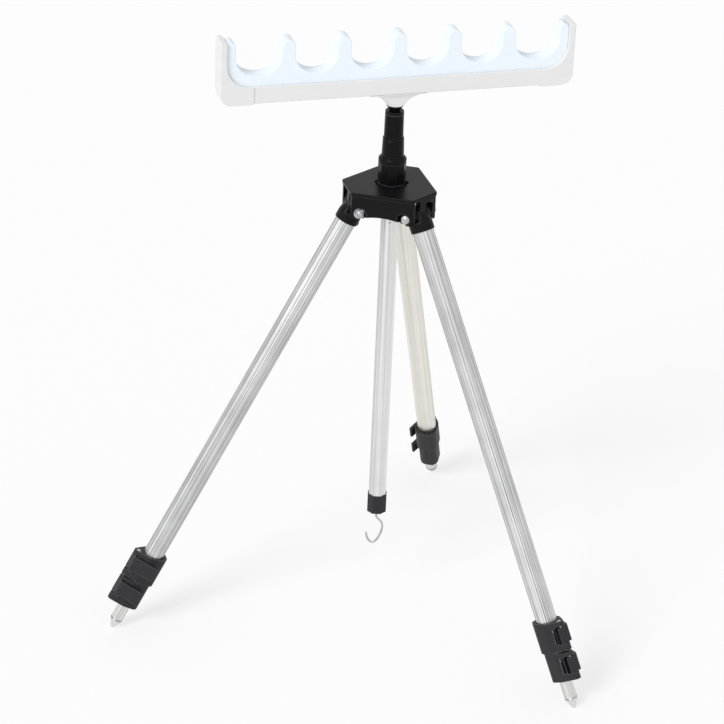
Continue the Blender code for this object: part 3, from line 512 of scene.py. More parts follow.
# leg tubes
tubes = {"upper": {"radius": 11.0, "wall": 1.2, "low": 85.8, "high": legLength - 8.6, "flutes": 36},
         "middle": {"radius": 9.0, "wall": 1.2, "low": 53.1, "high": 525.0, "flutes": 30},
         "lower": {"radius": 6.7, "wall": 1.0, "low": 12.9, "high": 495.0, "flutes": 24}}
fluteDepth = 0.22


def fromFoot(distance):
    return distance - legLength


def flutedTube(size):
    # an open tube, every second pair of its edges sunk a little, then given its wall
    sides = size["flutes"] * 4
    tube = addBar(size["radius"], fromFoot(size["low"]), fromFoot(size["high"]), sides)
    editParts(tube, "FACE", lambda face: abs(face.normal.z) > 0.9)
    bpy.ops.mesh.delete(type="ONLY_FACE")
    leaveEdit()

    def inFlute(vertex):
        angle = Vector((vertex.co.x, vertex.co.y)).angle_signed(Vector((1, 0)))
        return round(angle * sides / (2 * pi)) % 4 in (2, 3)

    editParts(tube, "VERT", inFlute)
    share = 1 - fluteDepth / size["radius"]
    bpy.ops.transform.resize(value=(share, share, 1), center_override=(0, 0, 0))
    leaveEdit()
    useModifier(tube, "SOLIDIFY", thickness=size["wall"], offset=-1)
    return tube


for level, size in tubes.items():
    finishes = endAluminium if level == "lower" else legAluminium
    settleOnLegs(flutedTube(size), level + "_tube", shifted(0, 0, 0), finishes)
print("leg tubes made")

# pivot bolts, nuts and knuckles
pivot = {"boltRadius": 3.0, "headRadius": 5.7, "headHeight": 4.4, "seat": 18.9, "nutFlats": 9.0,
         "nutHeight": 3.2, "flangeRadius": 5.9, "flangeHeight": 0.9, "boltEnd": 0.6, "chamfer": 0.5,
         "nutFoot": 0.5, "crownTop": 3.9, "crownRadius": 5.4, "crownDrop": 0.9}
# the socket's shoulder is drawn from its outer wall at the tube's top
knuckle = {"eyeRadius": 9.5, "eyeHalfWidth": 8.3, "bottom": -18.0, "top": -8.3, "wall": 1.3,
           "shoulderRadius": 8.0, "shoulder": 3.7, "shoulderLine": [(-0.9, 3.2), (-0.15, 0), (0, -3)],
           "lip": [(0, 0.6), (-0.5, 0)], "lugLength": 7.0, "lugHalfWidth": 4.0, "nubHalf": 1.6,
           "nubHeight": 3.4, "nubReach": 1.4}


def pivotBolt():
    radius, seat, chamfer = pivot["boltRadius"], pivot["seat"], pivot["chamfer"]
    end = seat + pivot["nutHeight"] + pivot["flangeHeight"] + pivot["boltEnd"]
    head = arc((0, -seat), (pivot["headRadius"], pivot["headHeight"]), 0, -pi / 2, 10)
    head[-1] = (0, -seat - pivot["headHeight"])
    shank = [(0, end), (radius - chamfer, end), (radius, end - chamfer), (radius, -seat)]
    return spinRound([*shank, *head], 40)


def pivotNut():
    seat, radius, flat = pivot["seat"], pivot["crownRadius"], pivot["crownTop"]
    top = seat + pivot["flangeHeight"] + pivot["nutHeight"]
    nut = addBar(pivot["nutFlats"] / 2 / cos(pi / 6), seat + pivot["nutFoot"], top, 6)
    crown = [(0, top), (flat, top), (radius, top - pivot["crownDrop"]), (radius, seat), (0, seat)]
    keepInside(nut, spinRound(crown, 48))
    fuse(nut, addBar(pivot["flangeRadius"], seat, seat + pivot["flangeHeight"], 40))
    return cut(nut, addBar(pivot["boltRadius"] + gap, seat - past, top + past, 32))


def legKnuckle():
    size = knuckle
    inner = tubes["upper"]["radius"] + gap
    outer = inner + size["wall"]
    half, bottom, top = size["eyeHalfWidth"], size["bottom"], size["top"]
    body = spinRound([(0, size["shoulder"]), (size["shoulderRadius"], size["shoulder"]),
                      *offsets(outer, top, size["shoulderLine"]), *offsets(outer, bottom, size["lip"]),
                      (0, bottom)], 72)
    eye = standUp(addBar(size["eyeRadius"], -half, half))
    lugTop = pivotDrop - hub["plate"] - gap
    lug = moved(addBlock((0, -size["lugHalfWidth"], 0), (size["lugLength"], size["lugHalfWidth"], lugTop)),
                turned(legUp.angle(Vector((0, 0, 1))), "Y"))
    # flat sides from the socket up
    sides = addBlock((-beyond, -half, top), (beyond, half, beyond))
    fuse(sides, addBlock((-beyond, -beyond, -beyond), (beyond, beyond, top + overlap)))
    fuse(body, eye, lug)
    keepInside(body, sides)
    fuse(body, addBlock((-outer - size["nubReach"], -size["nubHalf"], bottom),
                        (-inner, size["nubHalf"], bottom + size["nubHeight"])))
    hole = standUp(addBar(pivot["boltRadius"] + gap, -beyond, beyond, 32))
    return cut(body, addBar(inner, bottom - past, top, 72), hole)


# hub: a triangle with its corners cut off, walled on its long sides and open where the legs swing
hub = {"shortSideDistance": 48.0, "shortSideHalf": 18.0, "plate": 4.0, "lip": 0.8, "wall": 3.5,
       "depth": 29.5, "archRise": 5.0, "archShare": 0.68, "socketWall": 3.2, "socketDepth": 26.0,
       "padRadius": 7.7, "padReach": 18.6, "spotRadius": 6.1, "pivotRadius": 39.0, "corner": 2.6,
       "edge": 0.9, "wallEdge": 0.6, "socketEdge": 0.5, "cutEdge": 0.3, "doorway": 4.0,
       "notchReach": 18.2, "notchHalf": 3.3, "ribHalf": 0.8, "ribDepth": 9.0, "ribSink": 1.0}
legAngles = {"left": radians(210), "right": radians(330), "rear": radians(90)}
# the collar's rim is drawn from its outer wall at its top
collar = {"radius": 14.6, "height": 30.0, "spigotRadius": 13.0, "spigot": 24.0, "topWall": 3.2,
          "rim": [(-2.0, 0), (-0.25, -1.9), (0, -2.6)], "chamfer": 0.5, "mouth": 0.6, "edge": 0.2,
          "lugReach": 16.4, "lugHalf": 2.9, "lugHeight": 3.6, "lugRoot": 1.5, "lugWaist": 0.6,
          "lugEdge": 0.7, "lugTurn": radians(14), "band": 6.2, "flatsFoot": 0.9, "facets": 10,
          "scoop": 2.3}
wallDistance = hub["shortSideDistance"] / 2 + hub["shortSideHalf"] * sin(radians(60))

boltLine = turned(-pi / 2, "X")
settleOnLegs(pivotBolt(), "pivot_bolt", boltLine, steelFinish)
settleOnLegs(pivotNut(), "pivot_nut", boltLine, steelFinish)
settleOnLegs(legKnuckle(), "knuckle", shifted(0, 0, 0), hubPlastic)
print("pivots made")


def hubOutline(inset=0.0, openEnds=0.0, corner=0.0):
    distance = hub["shortSideDistance"] + openEnds
    half = hub["shortSideHalf"] - inset / cos(radians(30)) - openEnds * tan(radians(30))
    points = []
    for angle in sorted(legAngles.values()):
        out = Vector((cos(angle), sin(angle)))
        along = Vector((-sin(angle), cos(angle)))
        points += [out * distance - along * half, out * distance + along * half]
    return roundOff(points, corner, 5)


def boltBar(angle, radius, low, high, sides):
    # a bar on a pivot bolt's line
    return moved(addBar(radius, low, high, sides),
                 shifted(hub["pivotRadius"] * cos(angle), hub["pivotRadius"] * sin(angle), pivotHeight),
                 turned(angle, "Z"), boltLine)


def hubBody():
    size = hub
    under = hubTop - size["plate"]
    foot = hubTop - size["depth"]
    lip = size["lip"]
    socketRadius = collar["spigotRadius"] + gap
    body = softEdges(raiseOutline(hubOutline(corner=size["corner"]), under, hubTop), size["edge"], 3)
    walls = raiseOutline(hubOutline(lip, -lip, size["corner"] - lip), foot, under + gap)
    socket = addBar(socketRadius + size["socketWall"], hubTop - size["socketDepth"], under + gap)
    softEdges(walls, size["wallEdge"])
    softEdges(socket, size["socketEdge"])
    hollow = raiseOutline(hubOutline(lip + size["wall"], size["doorway"]), foot - past, under)
    cut(walls, hollow)
    fuse(body, walls, socket)
    inside = raiseOutline(hubOutline(lip + overlap, -lip), foot + overlap, under + overlap)
    padStart = knuckle["eyeHalfWidth"] + gap
    for angle in legAngles.values():
        # round pads beside the knuckle, and a rib from the socket out to the long wall
        for low, high in ((padStart, beyond), (-beyond, -padStart)):
            pad = boltBar(angle, size["padRadius"], low, high, 48)
            keepInside(pad, copyOf(inside))
            fuse(body, pad)
        rib = addBlock((-wallDistance + lip + size["ribSink"], -size["ribHalf"], under - size["ribDepth"]),
                       (-socketRadius - size["ribSink"], size["ribHalf"], under + overlap))
        fuse(body, moved(rib, turned(angle, "Z")))
    bpy.data.objects.remove(inside)
    cut(body, addBar(socketRadius, foot - past, hubTop + past))
    notchEnd = size["notchReach"] - size["notchHalf"]
    notch = hullOf([(-notchEnd, 0, size["notchHalf"]), (notchEnd, 0, size["notchHalf"])], 48)
    notch = raiseOutline(notch, under - past, hubTop + past)
    cut(body, moved(notch, turned(collar["lugTurn"], "Z")))
    archHalf = wallDistance * size["archShare"]
    archRadius = (archHalf ** 2 + size["archRise"] ** 2) / (2 * size["archRise"])
    for angle in legAngles.values():
        # bolt hole, its two spot faces and the low arch in the wall
        cut(body, boltBar(angle, pivot["boltRadius"] + gap, -beyond, beyond, 32))
        for low, high in ((size["padReach"], beyond), (-beyond, -size["padReach"])):
            cut(body, boltBar(angle, size["spotRadius"], low, high, 40))
        arch = addBar(archRadius, wallDistance - lip - size["wall"] - past, wallDistance + past, 160)
        cut(body, moved(arch, shifted(0, 0, foot + size["archRise"] - archRadius),
                        turned(angle + pi, "Z"), turned(pi / 2, "Y")))
    return softEdges(body, size["cutEdge"], angle=50)


settle(hubBody(), "hub_body", mastPlace, hubPlastic)
print("hub made")

# mast: an eight-sided tube in a ribbed collar, two slimmer collars and the weight hook's cap
octagon = {"flats": 18.6, "turn": radians(-9.5), "bore": 8.2, "edge": 0.8, "holeRadius": 0.9,
           "holeHeight": 462.0}
stages = {"middle": {"height": 20.6, "footRadius": 11.65, "topRadius": 11.0, "roof": 1.6, "tube": 7.9},
          "top": {"height": 28.9, "footRadius": 10.1, "topRadius": 9.7, "roof": 1.6, "tube": 6.5}}
# lines of the stage collars, drawn from their outer wall
stageLines = {"foot": [(-0.4, 0), (0, 0.5)], "rim": [(0, -0.7), (-0.25, -0.2), (-0.7, 0)],
              "groove": [(0, -0.45), (-0.35, -0.2), (-0.35, 0.2), (0, 0.45)], "mouth": [(0.5, 0), (0, -0.5)],
              "grooveDrop": 3.2, "scoop": 1.7, "scoopDrop": 1.4}
mark = {"radius": 1.3, "height": 3.2, "depth": 1.1}
cap = {"foot": 111.7, "height": 22.0, "wall": 0.7, "floor": 2.7, "edge": 0.6, "insideEdge": 0.5}
neck = {"footRadius": 5.8, "topRadius": 8.9, "height": 6.1, "stud": 4.0, "studDown": 15.0, "studUp": 10.0,
        "chamfer": 0.5, "footEdge": 0.4, "bellHeight": 4.9, "bend": 1.3, "topEdge": [(0, -0.35), (-0.3, 0)]}
hook = {"wire": 1.25, "headRadius": 3.4, "headHeight": 2.0, "headEdge": 0.5, "headSink": 1.0, "tip": 0.02,
        "route": [(0, 112.5), (0, 104.4), (1.4, 101.2), (5.2, 98.2), (7.3, 93.2), (6.8, 87.4), (4.8, 80.4),
                  (1.4, 73.4), (-3.2, 69.4), (-7.6, 71.6), (-9.9, 76.4), (-10.6, 80.0)]}
collarTop = hubTop + collar["height"]
stages["middle"]["foot"] = collarTop + gap
stages["top"]["foot"] = stages["middle"]["foot"] + stages["middle"]["height"] + gap
neckFoot = stages["top"]["foot"] + stages["top"]["height"] + gap
neckTop = neckFoot + neck["height"]


def octagonBar(flats, low, high):
    return addBar(flats / 2 / cos(pi / 8), low, high, 8, octagon["turn"])


def thumbScoop(body, radius, top, size):
    # a small scoop in the front of a collar's rim
    turn, outside = radians(-8), 0.45
    place = turned(turn, "Z") @ shifted(0, -radius - size * outside, top)
    return cut(body, addBall(size, place, 32))


def mastCollar():
    size = collar
    bore = octagon["flats"] / 2 / cos(pi / 8) + gap
    foot = hubTop + gap
    radius, mouth = size["radius"], octagon["bore"]
    spigot, spigotFoot = size["spigotRadius"], hubTop - size["spigot"]
    tubeTop = collarTop - size["topWall"]
    side = [*offsets(radius, collarTop, size["rim"]), (radius, foot + size["chamfer"]),
            (radius - size["chamfer"], foot), (spigot, foot), (spigot, spigotFoot)]
    inside = [(bore, spigotFoot), (bore, tubeTop), (mouth, tubeTop), (mouth, collarTop - size["mouth"]),
              (mouth + size["mouth"], collarTop)]
    body = spinRound([*side, *inside], 72, close=True)
    # broad upright flats under the band
    cutter = addBar(beyond, foot + size["flatsFoot"], collarTop - size["band"], 48)
    core = softEdges(addBar(radius, foot - past, collarTop, size["facets"]), size["edge"], angle=15)
    cut(body, cut(cutter, core))
    for side in (1, -1):
        lug = hullOf([(side * (bore + size["lugRoot"]), 0, size["lugHalf"] - size["lugWaist"]),
                      (side * (size["lugReach"] - size["lugHalf"]), 0, size["lugHalf"])], 40)
        lug = raiseOutline(lug, hubTop - hub["plate"] + gap, hubTop + size["lugHeight"])
        fuse(body, moved(softEdges(lug, size["lugEdge"], 3), turned(size["lugTurn"], "Z")))
    return thumbScoop(body, radius, collarTop, size["scoop"])


def centreTube():
    low = cap["foot"] + cap["floor"] + gap
    high = collarTop - collar["topWall"] - gap
    tube = softEdges(octagonBar(octagon["flats"], low, high), octagon["edge"], 3, angle=30)
    hole = moved(addBar(octagon["holeRadius"], 0, beyond, 24), shifted(0, 0, octagon["holeHeight"]),
                 turned(octagon["turn"] + pi / 8, "Z"), turned(pi / 2, "X"))
    return cut(tube, addBar(octagon["bore"], low - past, high + past), hole)


def endCap():
    size = cap
    top = size["foot"] + size["height"]
    inner = octagon["flats"] + 2 * gap
    body = softEdges(octagonBar(inner + 2 * size["wall"], size["foot"], top), size["edge"], 3, angle=30)
    hollow = octagonBar(inner, size["foot"] + size["floor"], top + past)
    softEdges(hollow, size["insideEdge"], angle=30)
    return cut(body, hollow, addBar(hook["wire"] + gap, size["foot"] - past, top, 32))


def smoothRoute(points, perSpan):
    # a smooth curve through all the points
    ends = [2 * points[0] - points[1], *points, 2 * points[-1] - points[-2]]
    route = []
    for a, b, c, d in zip(ends, ends[1:], ends[2:], ends[3:]):
        for step in range(perSpan):
            t = step / perSpan
            route.append(0.5 * (2 * b + (c - a) * t + (2 * a - 5 * b + 4 * c - d) * t ** 2
                                + (3 * b - a - 3 * c + d) * t ** 3))
    return [*route, points[-1]]


def weightHook():
    size = hook
    headFoot = cap["foot"] + cap["floor"] + gap
    route = smoothRoute([Vector((x, 0, z)) for x, z in size["route"]], 8)
    wire = drawLine([Vector((0, 0, headFoot + size["headSink"])), *route])
    leaveEdit()
    bpy.ops.object.convert(target="CURVE")
    wire = bpy.context.object
    wire.data.bevel_depth = size["wire"]
    wire.data.bevel_resolution = 5
    wire.data.use_fill_caps = True
    bpy.ops.object.convert(target="MESH")
    useModifier(wire, "WELD", merge_threshold=0.001)
    head = addBar(size["headRadius"], headFoot, headFoot + size["headHeight"], 40)
    ball = addBall(size["wire"] + size["tip"], shifted(*route[-1]), 24)
    return fuse(wire, ball, softEdges(head, size["headEdge"], 3))


def stageCollar(name, hole, rings):
    size = stages[name]
    foot, top = size["foot"], size["foot"] + size["height"]
    bore = size["tube"] + gap
    ceiling = top - size["roof"]
    slope = (size["topRadius"] - size["footRadius"]) / size["height"]
    side = offsets(size["footRadius"], foot, stageLines["foot"])
    for height in rings:
        side += offsets(size["footRadius"] + slope * height, foot + height, stageLines["groove"])
    side += offsets(size["topRadius"], top, stageLines["rim"]) + offsets(hole, top, stageLines["mouth"])
    return spinRound([*side, (hole, ceiling), (bore, ceiling), (bore, foot)], 72, close=True)


def middleCollar():
    size = stages["middle"]
    body = stageCollar("middle", stages["top"]["tube"] + gap, [])
    scoopHeight = size["foot"] + size["height"] - stageLines["scoopDrop"]
    return thumbScoop(body, size["topRadius"], scoopHeight, stageLines["scoop"])


def topCollar():
    # with a round mark low on its side
    size = stages["top"]
    body = stageCollar("top", neck["stud"] + gap, [size["height"] - stageLines["grooveDrop"]])
    cutter = addBar(mark["radius"], size["footRadius"] - mark["depth"], beyond, 24)
    return cut(body, moved(cutter, shifted(0, 0, size["foot"] + mark["height"]), turned(pi / 2, "Y")))


def combNeck():
    size = neck
    stud, chamfer = size["stud"], size["chamfer"]
    low, high = neckFoot - size["studDown"], neckTop + size["studUp"]
    flare = size["topRadius"] - size["footRadius"]
    bell = [(size["footRadius"] + flare * (i / 5) ** size["bend"],
             neckFoot + size["footEdge"] + size["bellHeight"] * i / 5) for i in range(6)]
    foot = [(0, low), (stud - chamfer, low), (stud, low + chamfer), (stud, neckFoot),
            (size["footRadius"] - size["footEdge"], neckFoot)]
    rim = offsets(size["topRadius"], neckTop, size["topEdge"])
    return spinRound([*foot, *bell, *rim, (stud, neckTop), (stud, high), (0, high)])


settle(mastCollar(), "mast_collar", mastPlace, mastPlastic)
settle(centreTube(), "centre_tube", mastPlace, mastAluminium)
settle(endCap(), "centre_tube_cap", mastPlace, lockPlastic)
settle(weightHook(), "weight_hook", mastPlace, steelFinish)
settle(middleCollar(), "middle_mast_collar", mastPlace, mastPlastic)
settle(topCollar(), "top_mast_collar", mastPlace, mastPlastic)
print("mast made")

# comb: grey channel with an upright end at each side, a saddle under it and a foam pad in it
comb = {"turn": radians(29.5), "foot": 605.2, "half": 184.9, "channelHalf": 150.6, "halfDepth": 12.0,
        "height": 17.5, "wall": 2.2, "floor": 2.5, "corners": [0.8, 0.9, 0.9, 0.8, 0.6, 0.8, 0.8, 0.6]}
combEnds = {"depth": 13.0, "drop": 1.0, "post": 6.5, "corner": 12.0, "fillet": 25.0, "rise": 1.0,
            "tip": 2.2, "tongue": 4.0, "seam": 0.03, "edge": 0.7, "insideEdge": 0.3}
pad = {"top": 64.4, "scallopFloor": 28.0, "scallopRound": 20.0, "pitch": 57.4, "toothHalf": 7.0,
       "lipHalf": 4.7, "edge": 0.8, "gap": 0.05}
saddle = {"half": 32.0, "stem": 9.0, "depth": 12.6, "tip": 0.7, "edge": 1.2, "bend": 2.6, "gap": 0.05,
          "rim": 0.4, "steps": 14}
combPlace = mastPlace @ turned(comb["turn"], "Z")


def combSaddle():
    # flared both ways, and kept inside a round trumpet
    size = saddle
    foot = neckTop + gap
    top = comb["foot"] - size["gap"]
    rise = top - size["tip"] - foot

    def flare(half):
        shares = [i / size["steps"] for i in range(size["steps"] + 1)]
        bow = [(size["stem"] + (half - size["stem"]) * t, foot + rise * (1 - (1 - t) ** size["bend"]))
               for t in shares]
        return [*bow, (half, top)]

    def flared(half, reach):
        right = flare(half)
        outline = right + [(-x, z) for x, z in reversed(right)]
        return standUp(raiseOutline(outline, -reach - past, reach + past))

    rim = size["rim"]
    trumpet = [(0, foot - past), (size["stem"] + rim, foot - past), *offsets(rim, 0, flare(size["half"])),
               (size["half"] + rim, top + past), (0, top + past)]
    body = flared(size["half"], size["depth"])
    across = moved(flared(size["depth"], size["half"]), turned(pi / 2, "Z"))
    keepInside(body, across, spinRound(trumpet))
    softEdges(body, size["edge"], 5, angle=50)
    return cut(body, addBar(neck["stud"] + gap, foot - past, neckTop + neck["studUp"] + gap, 40))


def combChannel():
    size = comb
    half, depth, foot = size["channelHalf"], size["halfDepth"], size["foot"]
    inner, floor, top = depth - size["wall"], foot + size["floor"], foot + size["height"]
    section = [(-depth, top), (-depth, foot), (depth, foot), (depth, top), (inner, top), (inner, floor),
               (-inner, floor), (-inner, top)]
    return moved(standUp(raiseOutline(roundOff(section, size["corners"], 4), -half, half)),
                 turned(pi / 2, "Z"))


def combEnd():
    size = combEnds
    low, railTop = comb["foot"] - size["drop"], comb["foot"] + comb["height"]
    top = comb["foot"] + pad["top"] + size["rise"]
    start, far = comb["channelHalf"] - size["tongue"], comb["half"]
    post = far - size["post"]
    corner, fillet, tip = size["corner"], size["fillet"], size["tip"]
    outline = [(start, low), *arc((far - corner, low + corner), corner, -pi / 2, 0, 16),
               *arc((far - tip, top - tip), tip, 0, pi / 2, 5), (post, top),
               *arc((post - fillet, railTop + fillet), fillet, 0, -pi / 2, 24), (start, railTop)]
    body = standUp(raiseOutline(outline, -size["depth"], size["depth"]))
    softEdges(body, size["edge"], 3)
    inner = comb["halfDepth"] - comb["wall"]
    joint = comb["channelHalf"] + size["seam"]
    endCut = addBlock((start - beyond, -beyond, low - past), (joint, beyond, top + past))
    room = addBlock((start - beyond, -inner, comb["foot"] + comb["floor"]), (post, inner, top + past))
    return softEdges(cut(body, endCut, room), size["insideEdge"])


def combPad():
    size = pad
    foot = comb["foot"] + comb["floor"] + gap
    top = comb["foot"] + size["top"]
    half = comb["half"] - combEnds["post"] - size["gap"]
    lip = half - size["lipHalf"]
    fingers = [(lip, size["lipHalf"]), *((i * size["pitch"], size["toothHalf"]) for i in (2, 1, 0, -1, -2)),
               (-lip, size["lipHalf"])]
    scallopTop = comb["foot"] + size["scallopFloor"] + size["scallopRound"]
    outline = [(-half, foot), (half, foot)]
    for i, (middle, width) in enumerate(fingers):
        outline += arc((middle, top - width), width, 0, pi, 14)
        if i + 1 < len(fingers):
            right = middle - width
            left = sum(fingers[i + 1])
            outline += arc(((left + right) / 2, scallopTop), ((right - left) / 2, size["scallopRound"]),
                           0, -pi, 28)
    depth = comb["halfDepth"] - comb["wall"] - gap
    return softEdges(standUp(raiseOutline(outline, -depth, depth)), size["edge"], 4)


settle(combNeck(), "comb_screw_neck", combPlace, mastPlastic)
settle(combSaddle(), "comb_saddle", combPlace, combFinish)
settle(combChannel(), "comb_channel", combPlace, combFinish)
endPiece = combEnd()
settle(copyOf(endPiece), "comb_right_end", combPlace, combFinish)
settle(endPiece, "comb_left_end", combPlace @ turned(pi, "Z"), combFinish)
settle(combPad(), "comb_pad", combPlace, foamFinish)
print("comb made")

# flip locks: a sleeve with an ear for the pin and a pocket for the lever
lock = {"back": 15.0, "backCorner": 9.9, "front": 13.2, "frontCorner": 9.0, "halfWidth": 12.8, "seat": 20.0,
        "seatWall": 1.4, "pinReach": 17.2, "pinRadius": 1.5, "earRadius": 4.8, "rivet": 2.4, "edge": 0.9,
        "cutEdge": 0.25, "pocketLow": 7.0, "pocketHigh": 26.3, "pocketRoom": 0.5, "slotWidth": 2.4,
        "slotLow": 8.0, "slotHigh": 24.8, "slotWall": 1.3, "slopeStart": 9.0, "slopeEnd": 45.0,
        "sinkRoom": 0.35, "sinkDepth": 1.0, "mouth": 0.7, "flare": [(0, -4.0), (0.8, 2.0)]}
lockSizes = {"upper": {"foot": 65.5, "inner": 34.6, "outer": 31.2, "scale": 1.0,
                       "holds": "upper", "clamps": "middle"},
             "lower": {"foot": 32.8, "inner": 31.8, "outer": 30.0, "scale": 0.86,
                       "holds": "middle", "clamps": "lower"}}
# levers: a barrel and a short heel at the pin, and a thumb plate that runs back along the lock's side
lever = {"barrel": 3.0, "heelLength": 6.0, "heelThickness": 2.7, "low": 7.6, "high": 24.4,
         "turn": radians(60), "face": 17.0, "thickness": 3.4, "tip": 13.8, "plateLow": 10.6,
         "plateHigh": 26.0, "corners": [1.0, 3.0, 1.3, 0.9, 0.8, 0, 0.8, 0.8], "edge": 0.45,
         "heelTop": -1.0, "webStart": 0.5, "plateStart": 2.5, "plateCorner": 1.8, "cutEnd": 2.0,
         "skin": 0.1, "barrelInset": 0.05, "hollow": [(-2.4, 1.8)]}
# the room that a lock leaves for the thumb plate
plateRoom = {"tip": 2.8, "below": 0.6, "above": 1.6, "corner": 4, "depth": 12.0}
pocketRadius = hypot(lever["heelLength"], lever["barrel"]) + lock["pocketRoom"]
plateOut = Vector((cos(lever["turn"]), sin(lever["turn"])))
plateAlong = Vector((-sin(lever["turn"]), cos(lever["turn"])))
pinAlong = -lock["pinReach"] * sin(lever["turn"])
toPin = shifted(lock["pinReach"], 0, 0)


def lockSlope(size):
    # the top falls from the sleeve's back to the ear's front
    length = lock["back"] * size["scale"] + lock["pinReach"] + lock["earRadius"]
    return (size["inner"] - size["outer"]) / length


def earTop(size):
    # the height of the sloping top over the pin
    return size["inner"] - lockSlope(size) * (lock["pinReach"] + lock["back"] * size["scale"])


def besidePlate(outline, low, high):
    # drawn along the thumb plate, up it and out from the tube
    stand = Matrix(((0, 0, 1, 0), (1, 0, 0, 0), (0, 1, 0, 0), (0, 0, 0, 1)))
    return moved(raiseOutline(outline, low, high), turned(lever["turn"], "Z"), stand)


def sleeve(size):
    # its outer shape, with the top cut to the slope
    scale, inner = size["scale"], size["inner"]
    circles = []
    for way, end in ((-1, "back"), (1, "front")):
        radius = lock[end + "Corner"]
        x, y = way * (lock[end] - radius) * scale, (lock["halfWidth"] - radius) * scale
        circles += [(x, y, radius * scale), (x, -y, radius * scale)]
    body = raiseOutline(hullOf([*circles, (lock["pinReach"], 0, lock["earRadius"])], 96), 0, inner)
    slope = lockSlope(size)
    back = -lock["back"] * scale
    start, end, top = back - lock["slopeStart"], lock["slopeEnd"], inner + lock["slopeStart"]
    wedge = [(start, inner + slope * (back - start)), (end, inner - slope * (end - back)), (end, top),
             (start, top)]
    cut(body, standUp(raiseOutline(wedge, -beyond, beyond)))
    return softEdges(body, lock["edge"], 3, angle=50)


def flipLock(size):
    inner, mouth = size["inner"], lock["mouth"]
    body = sleeve(size)
    seatRadius = tubes[size["holds"]]["radius"] + gap
    clampRadius = tubes[size["clamps"]]["radius"] + gap
    wallRadius = seatRadius + lock["seatWall"]
    pocket = moved(addBar(pocketRadius, lock["pocketLow"], lock["pocketHigh"]), toPin)
    slotSide = -lever["heelLength"] - gap
    slotEnd = slotSide - lock["slotWidth"]
    slotStart = (seatRadius ** 2 - slotEnd ** 2) ** 0.5 + lock["slotWall"]
    cut(pocket, addBar(wallRadius, 0, inner))
    fuse(pocket, addBlock((slotStart, slotEnd, lock["slotLow"]),
                          (beyond, slotSide + past, lock["slotHigh"])))
    low, high = lever["plateLow"] - plateRoom["below"], lever["plateHigh"] + plateRoom["above"]
    end = lever["tip"] + plateRoom["tip"]
    corner = plateRoom["corner"]
    room = roundOff([(pinAlong, low), (end, low), (end, high), (pinAlong, high)], [0, corner, corner, 0], 6)
    room = besidePlate(room, wallRadius, lever["face"] + plateRoom["depth"])
    sinkFloor = earTop(size) - lock["sinkDepth"]
    sink = moved(addBar(lock["rivet"] + lock["sinkRoom"], sinkFloor, inner + past, 40), toPin)
    pinHole = moved(addBar(lock["pinRadius"] + gap, -past, inner + past, 24), toPin)
    flare = offsets(seatRadius, inner, lock["flare"])
    bore = [(0, -past), (clampRadius + mouth, -past), (clampRadius + mouth, 0), (clampRadius, mouth),
            (clampRadius, lock["seat"]), (seatRadius, lock["seat"]), *flare, (0, flare[-1][1])]
    cut(body, pocket, room, sink, pinHole, spinRound(bore, 72))
    return softEdges(body, lock["cutEdge"], angle=50)


def flipLever():
    size = lever
    reach, barrel, tip = lock["pinReach"], size["barrel"], size["tip"]
    face = reach + barrel - size["skin"]
    heel = face - size["heelThickness"]
    inside = size["face"] - size["thickness"]
    outline = [(face, -size["heelLength"]), (face, (size["face"] - face * plateOut.x) / plateOut.y),
               plateOut * size["face"] + plateAlong * tip, plateOut * inside + plateAlong * tip,
               plateOut * inside + plateAlong * (pinAlong + barrel + size["webStart"]),
               *offsets(reach, 0, size["hollow"]), (heel, size["heelTop"]), (heel, -size["heelLength"])]
    body = raiseOutline(roundOff(outline, size["corners"], 5), size["low"], size["plateHigh"])
    inset = size["barrelInset"]
    fuse(body, moved(addBar(barrel, size["low"] + inset, size["high"] - inset, 48), toPin))
    # the thumb plate stands a little higher than the barrel and the heel
    start = pinAlong + barrel + size["plateStart"]
    under = [(start, 0), (beyond, 0), (beyond, size["plateLow"]), (start, size["plateLow"])]
    cut(body, besidePlate(roundOff(under, [0, 0, 0, size["plateCorner"]], 5), 0, beyond),
        addBlock((0, -beyond, size["high"]), (beyond, size["cutEnd"], beyond)),
        moved(addBar(lock["pinRadius"] + gap, 0, beyond, 24), toPin))
    softEdges(body, size["edge"], 3, angle=50)
    return moved(body, shifted(-reach, 0, 0))


# the head is drawn from the sloping top of the ear
rivet = {"foot": 0.4, "chamfer": 0.3, "head": [(0, -0.7), (0, -0.2), (-0.4, 0.15), (-1.2, 0.35)], "dome": 0.4}


def leverPin(size):
    # a rivet whose head lies in the ear's countersink
    top = earTop(size)
    radius, low, chamfer = lock["pinRadius"], rivet["foot"], rivet["chamfer"]
    head = offsets(lock["rivet"], top, rivet["head"])
    return spinRound([(0, low), (radius - chamfer, low), (radius, low + chamfer), (radius, head[0][1]), *head,
                      (0, top + rivet["dome"])], 40)


# the foot's lines are drawn from the lower tube's wall, at the cone's and the ring's upper ends
foot = {"cone": 11.6, "ring": 1.0, "proud": 0.5, "point": 2.0, "spigot": 12.0,
        "shoulder": [(-0.3, -1.8), (0, -1.4), (0, -0.8), (-1.3, -0.8), (-1.3, 0)],
        "ringFoot": [(-0.2, 0.05), (0, 0.25)], "ringTop": [(0, -0.7), (-0.2, -0.5), (-1.8, -0.5), (-1.8, 0)]}


def legFoot():
    size = foot
    radius = tubes["lower"]["radius"]
    spigot = radius - tubes["lower"]["wall"] - gap
    ringRadius, ringTop = radius + size["proud"], size["cone"] + size["ring"]
    top = ringTop + size["spigot"]
    tip = arc((0, size["point"]), size["point"], radians(-90), radians(-30), 6)
    cone = [(0, 0), *tip[1:], *offsets(radius, size["cone"], size["shoulder"])]
    ring = offsets(ringRadius, size["cone"], size["ringFoot"]) + offsets(ringRadius, ringTop, size["ringTop"])
    return spinRound([*cone, *ring, (spigot, ringTop), (spigot, top), (0, top)])


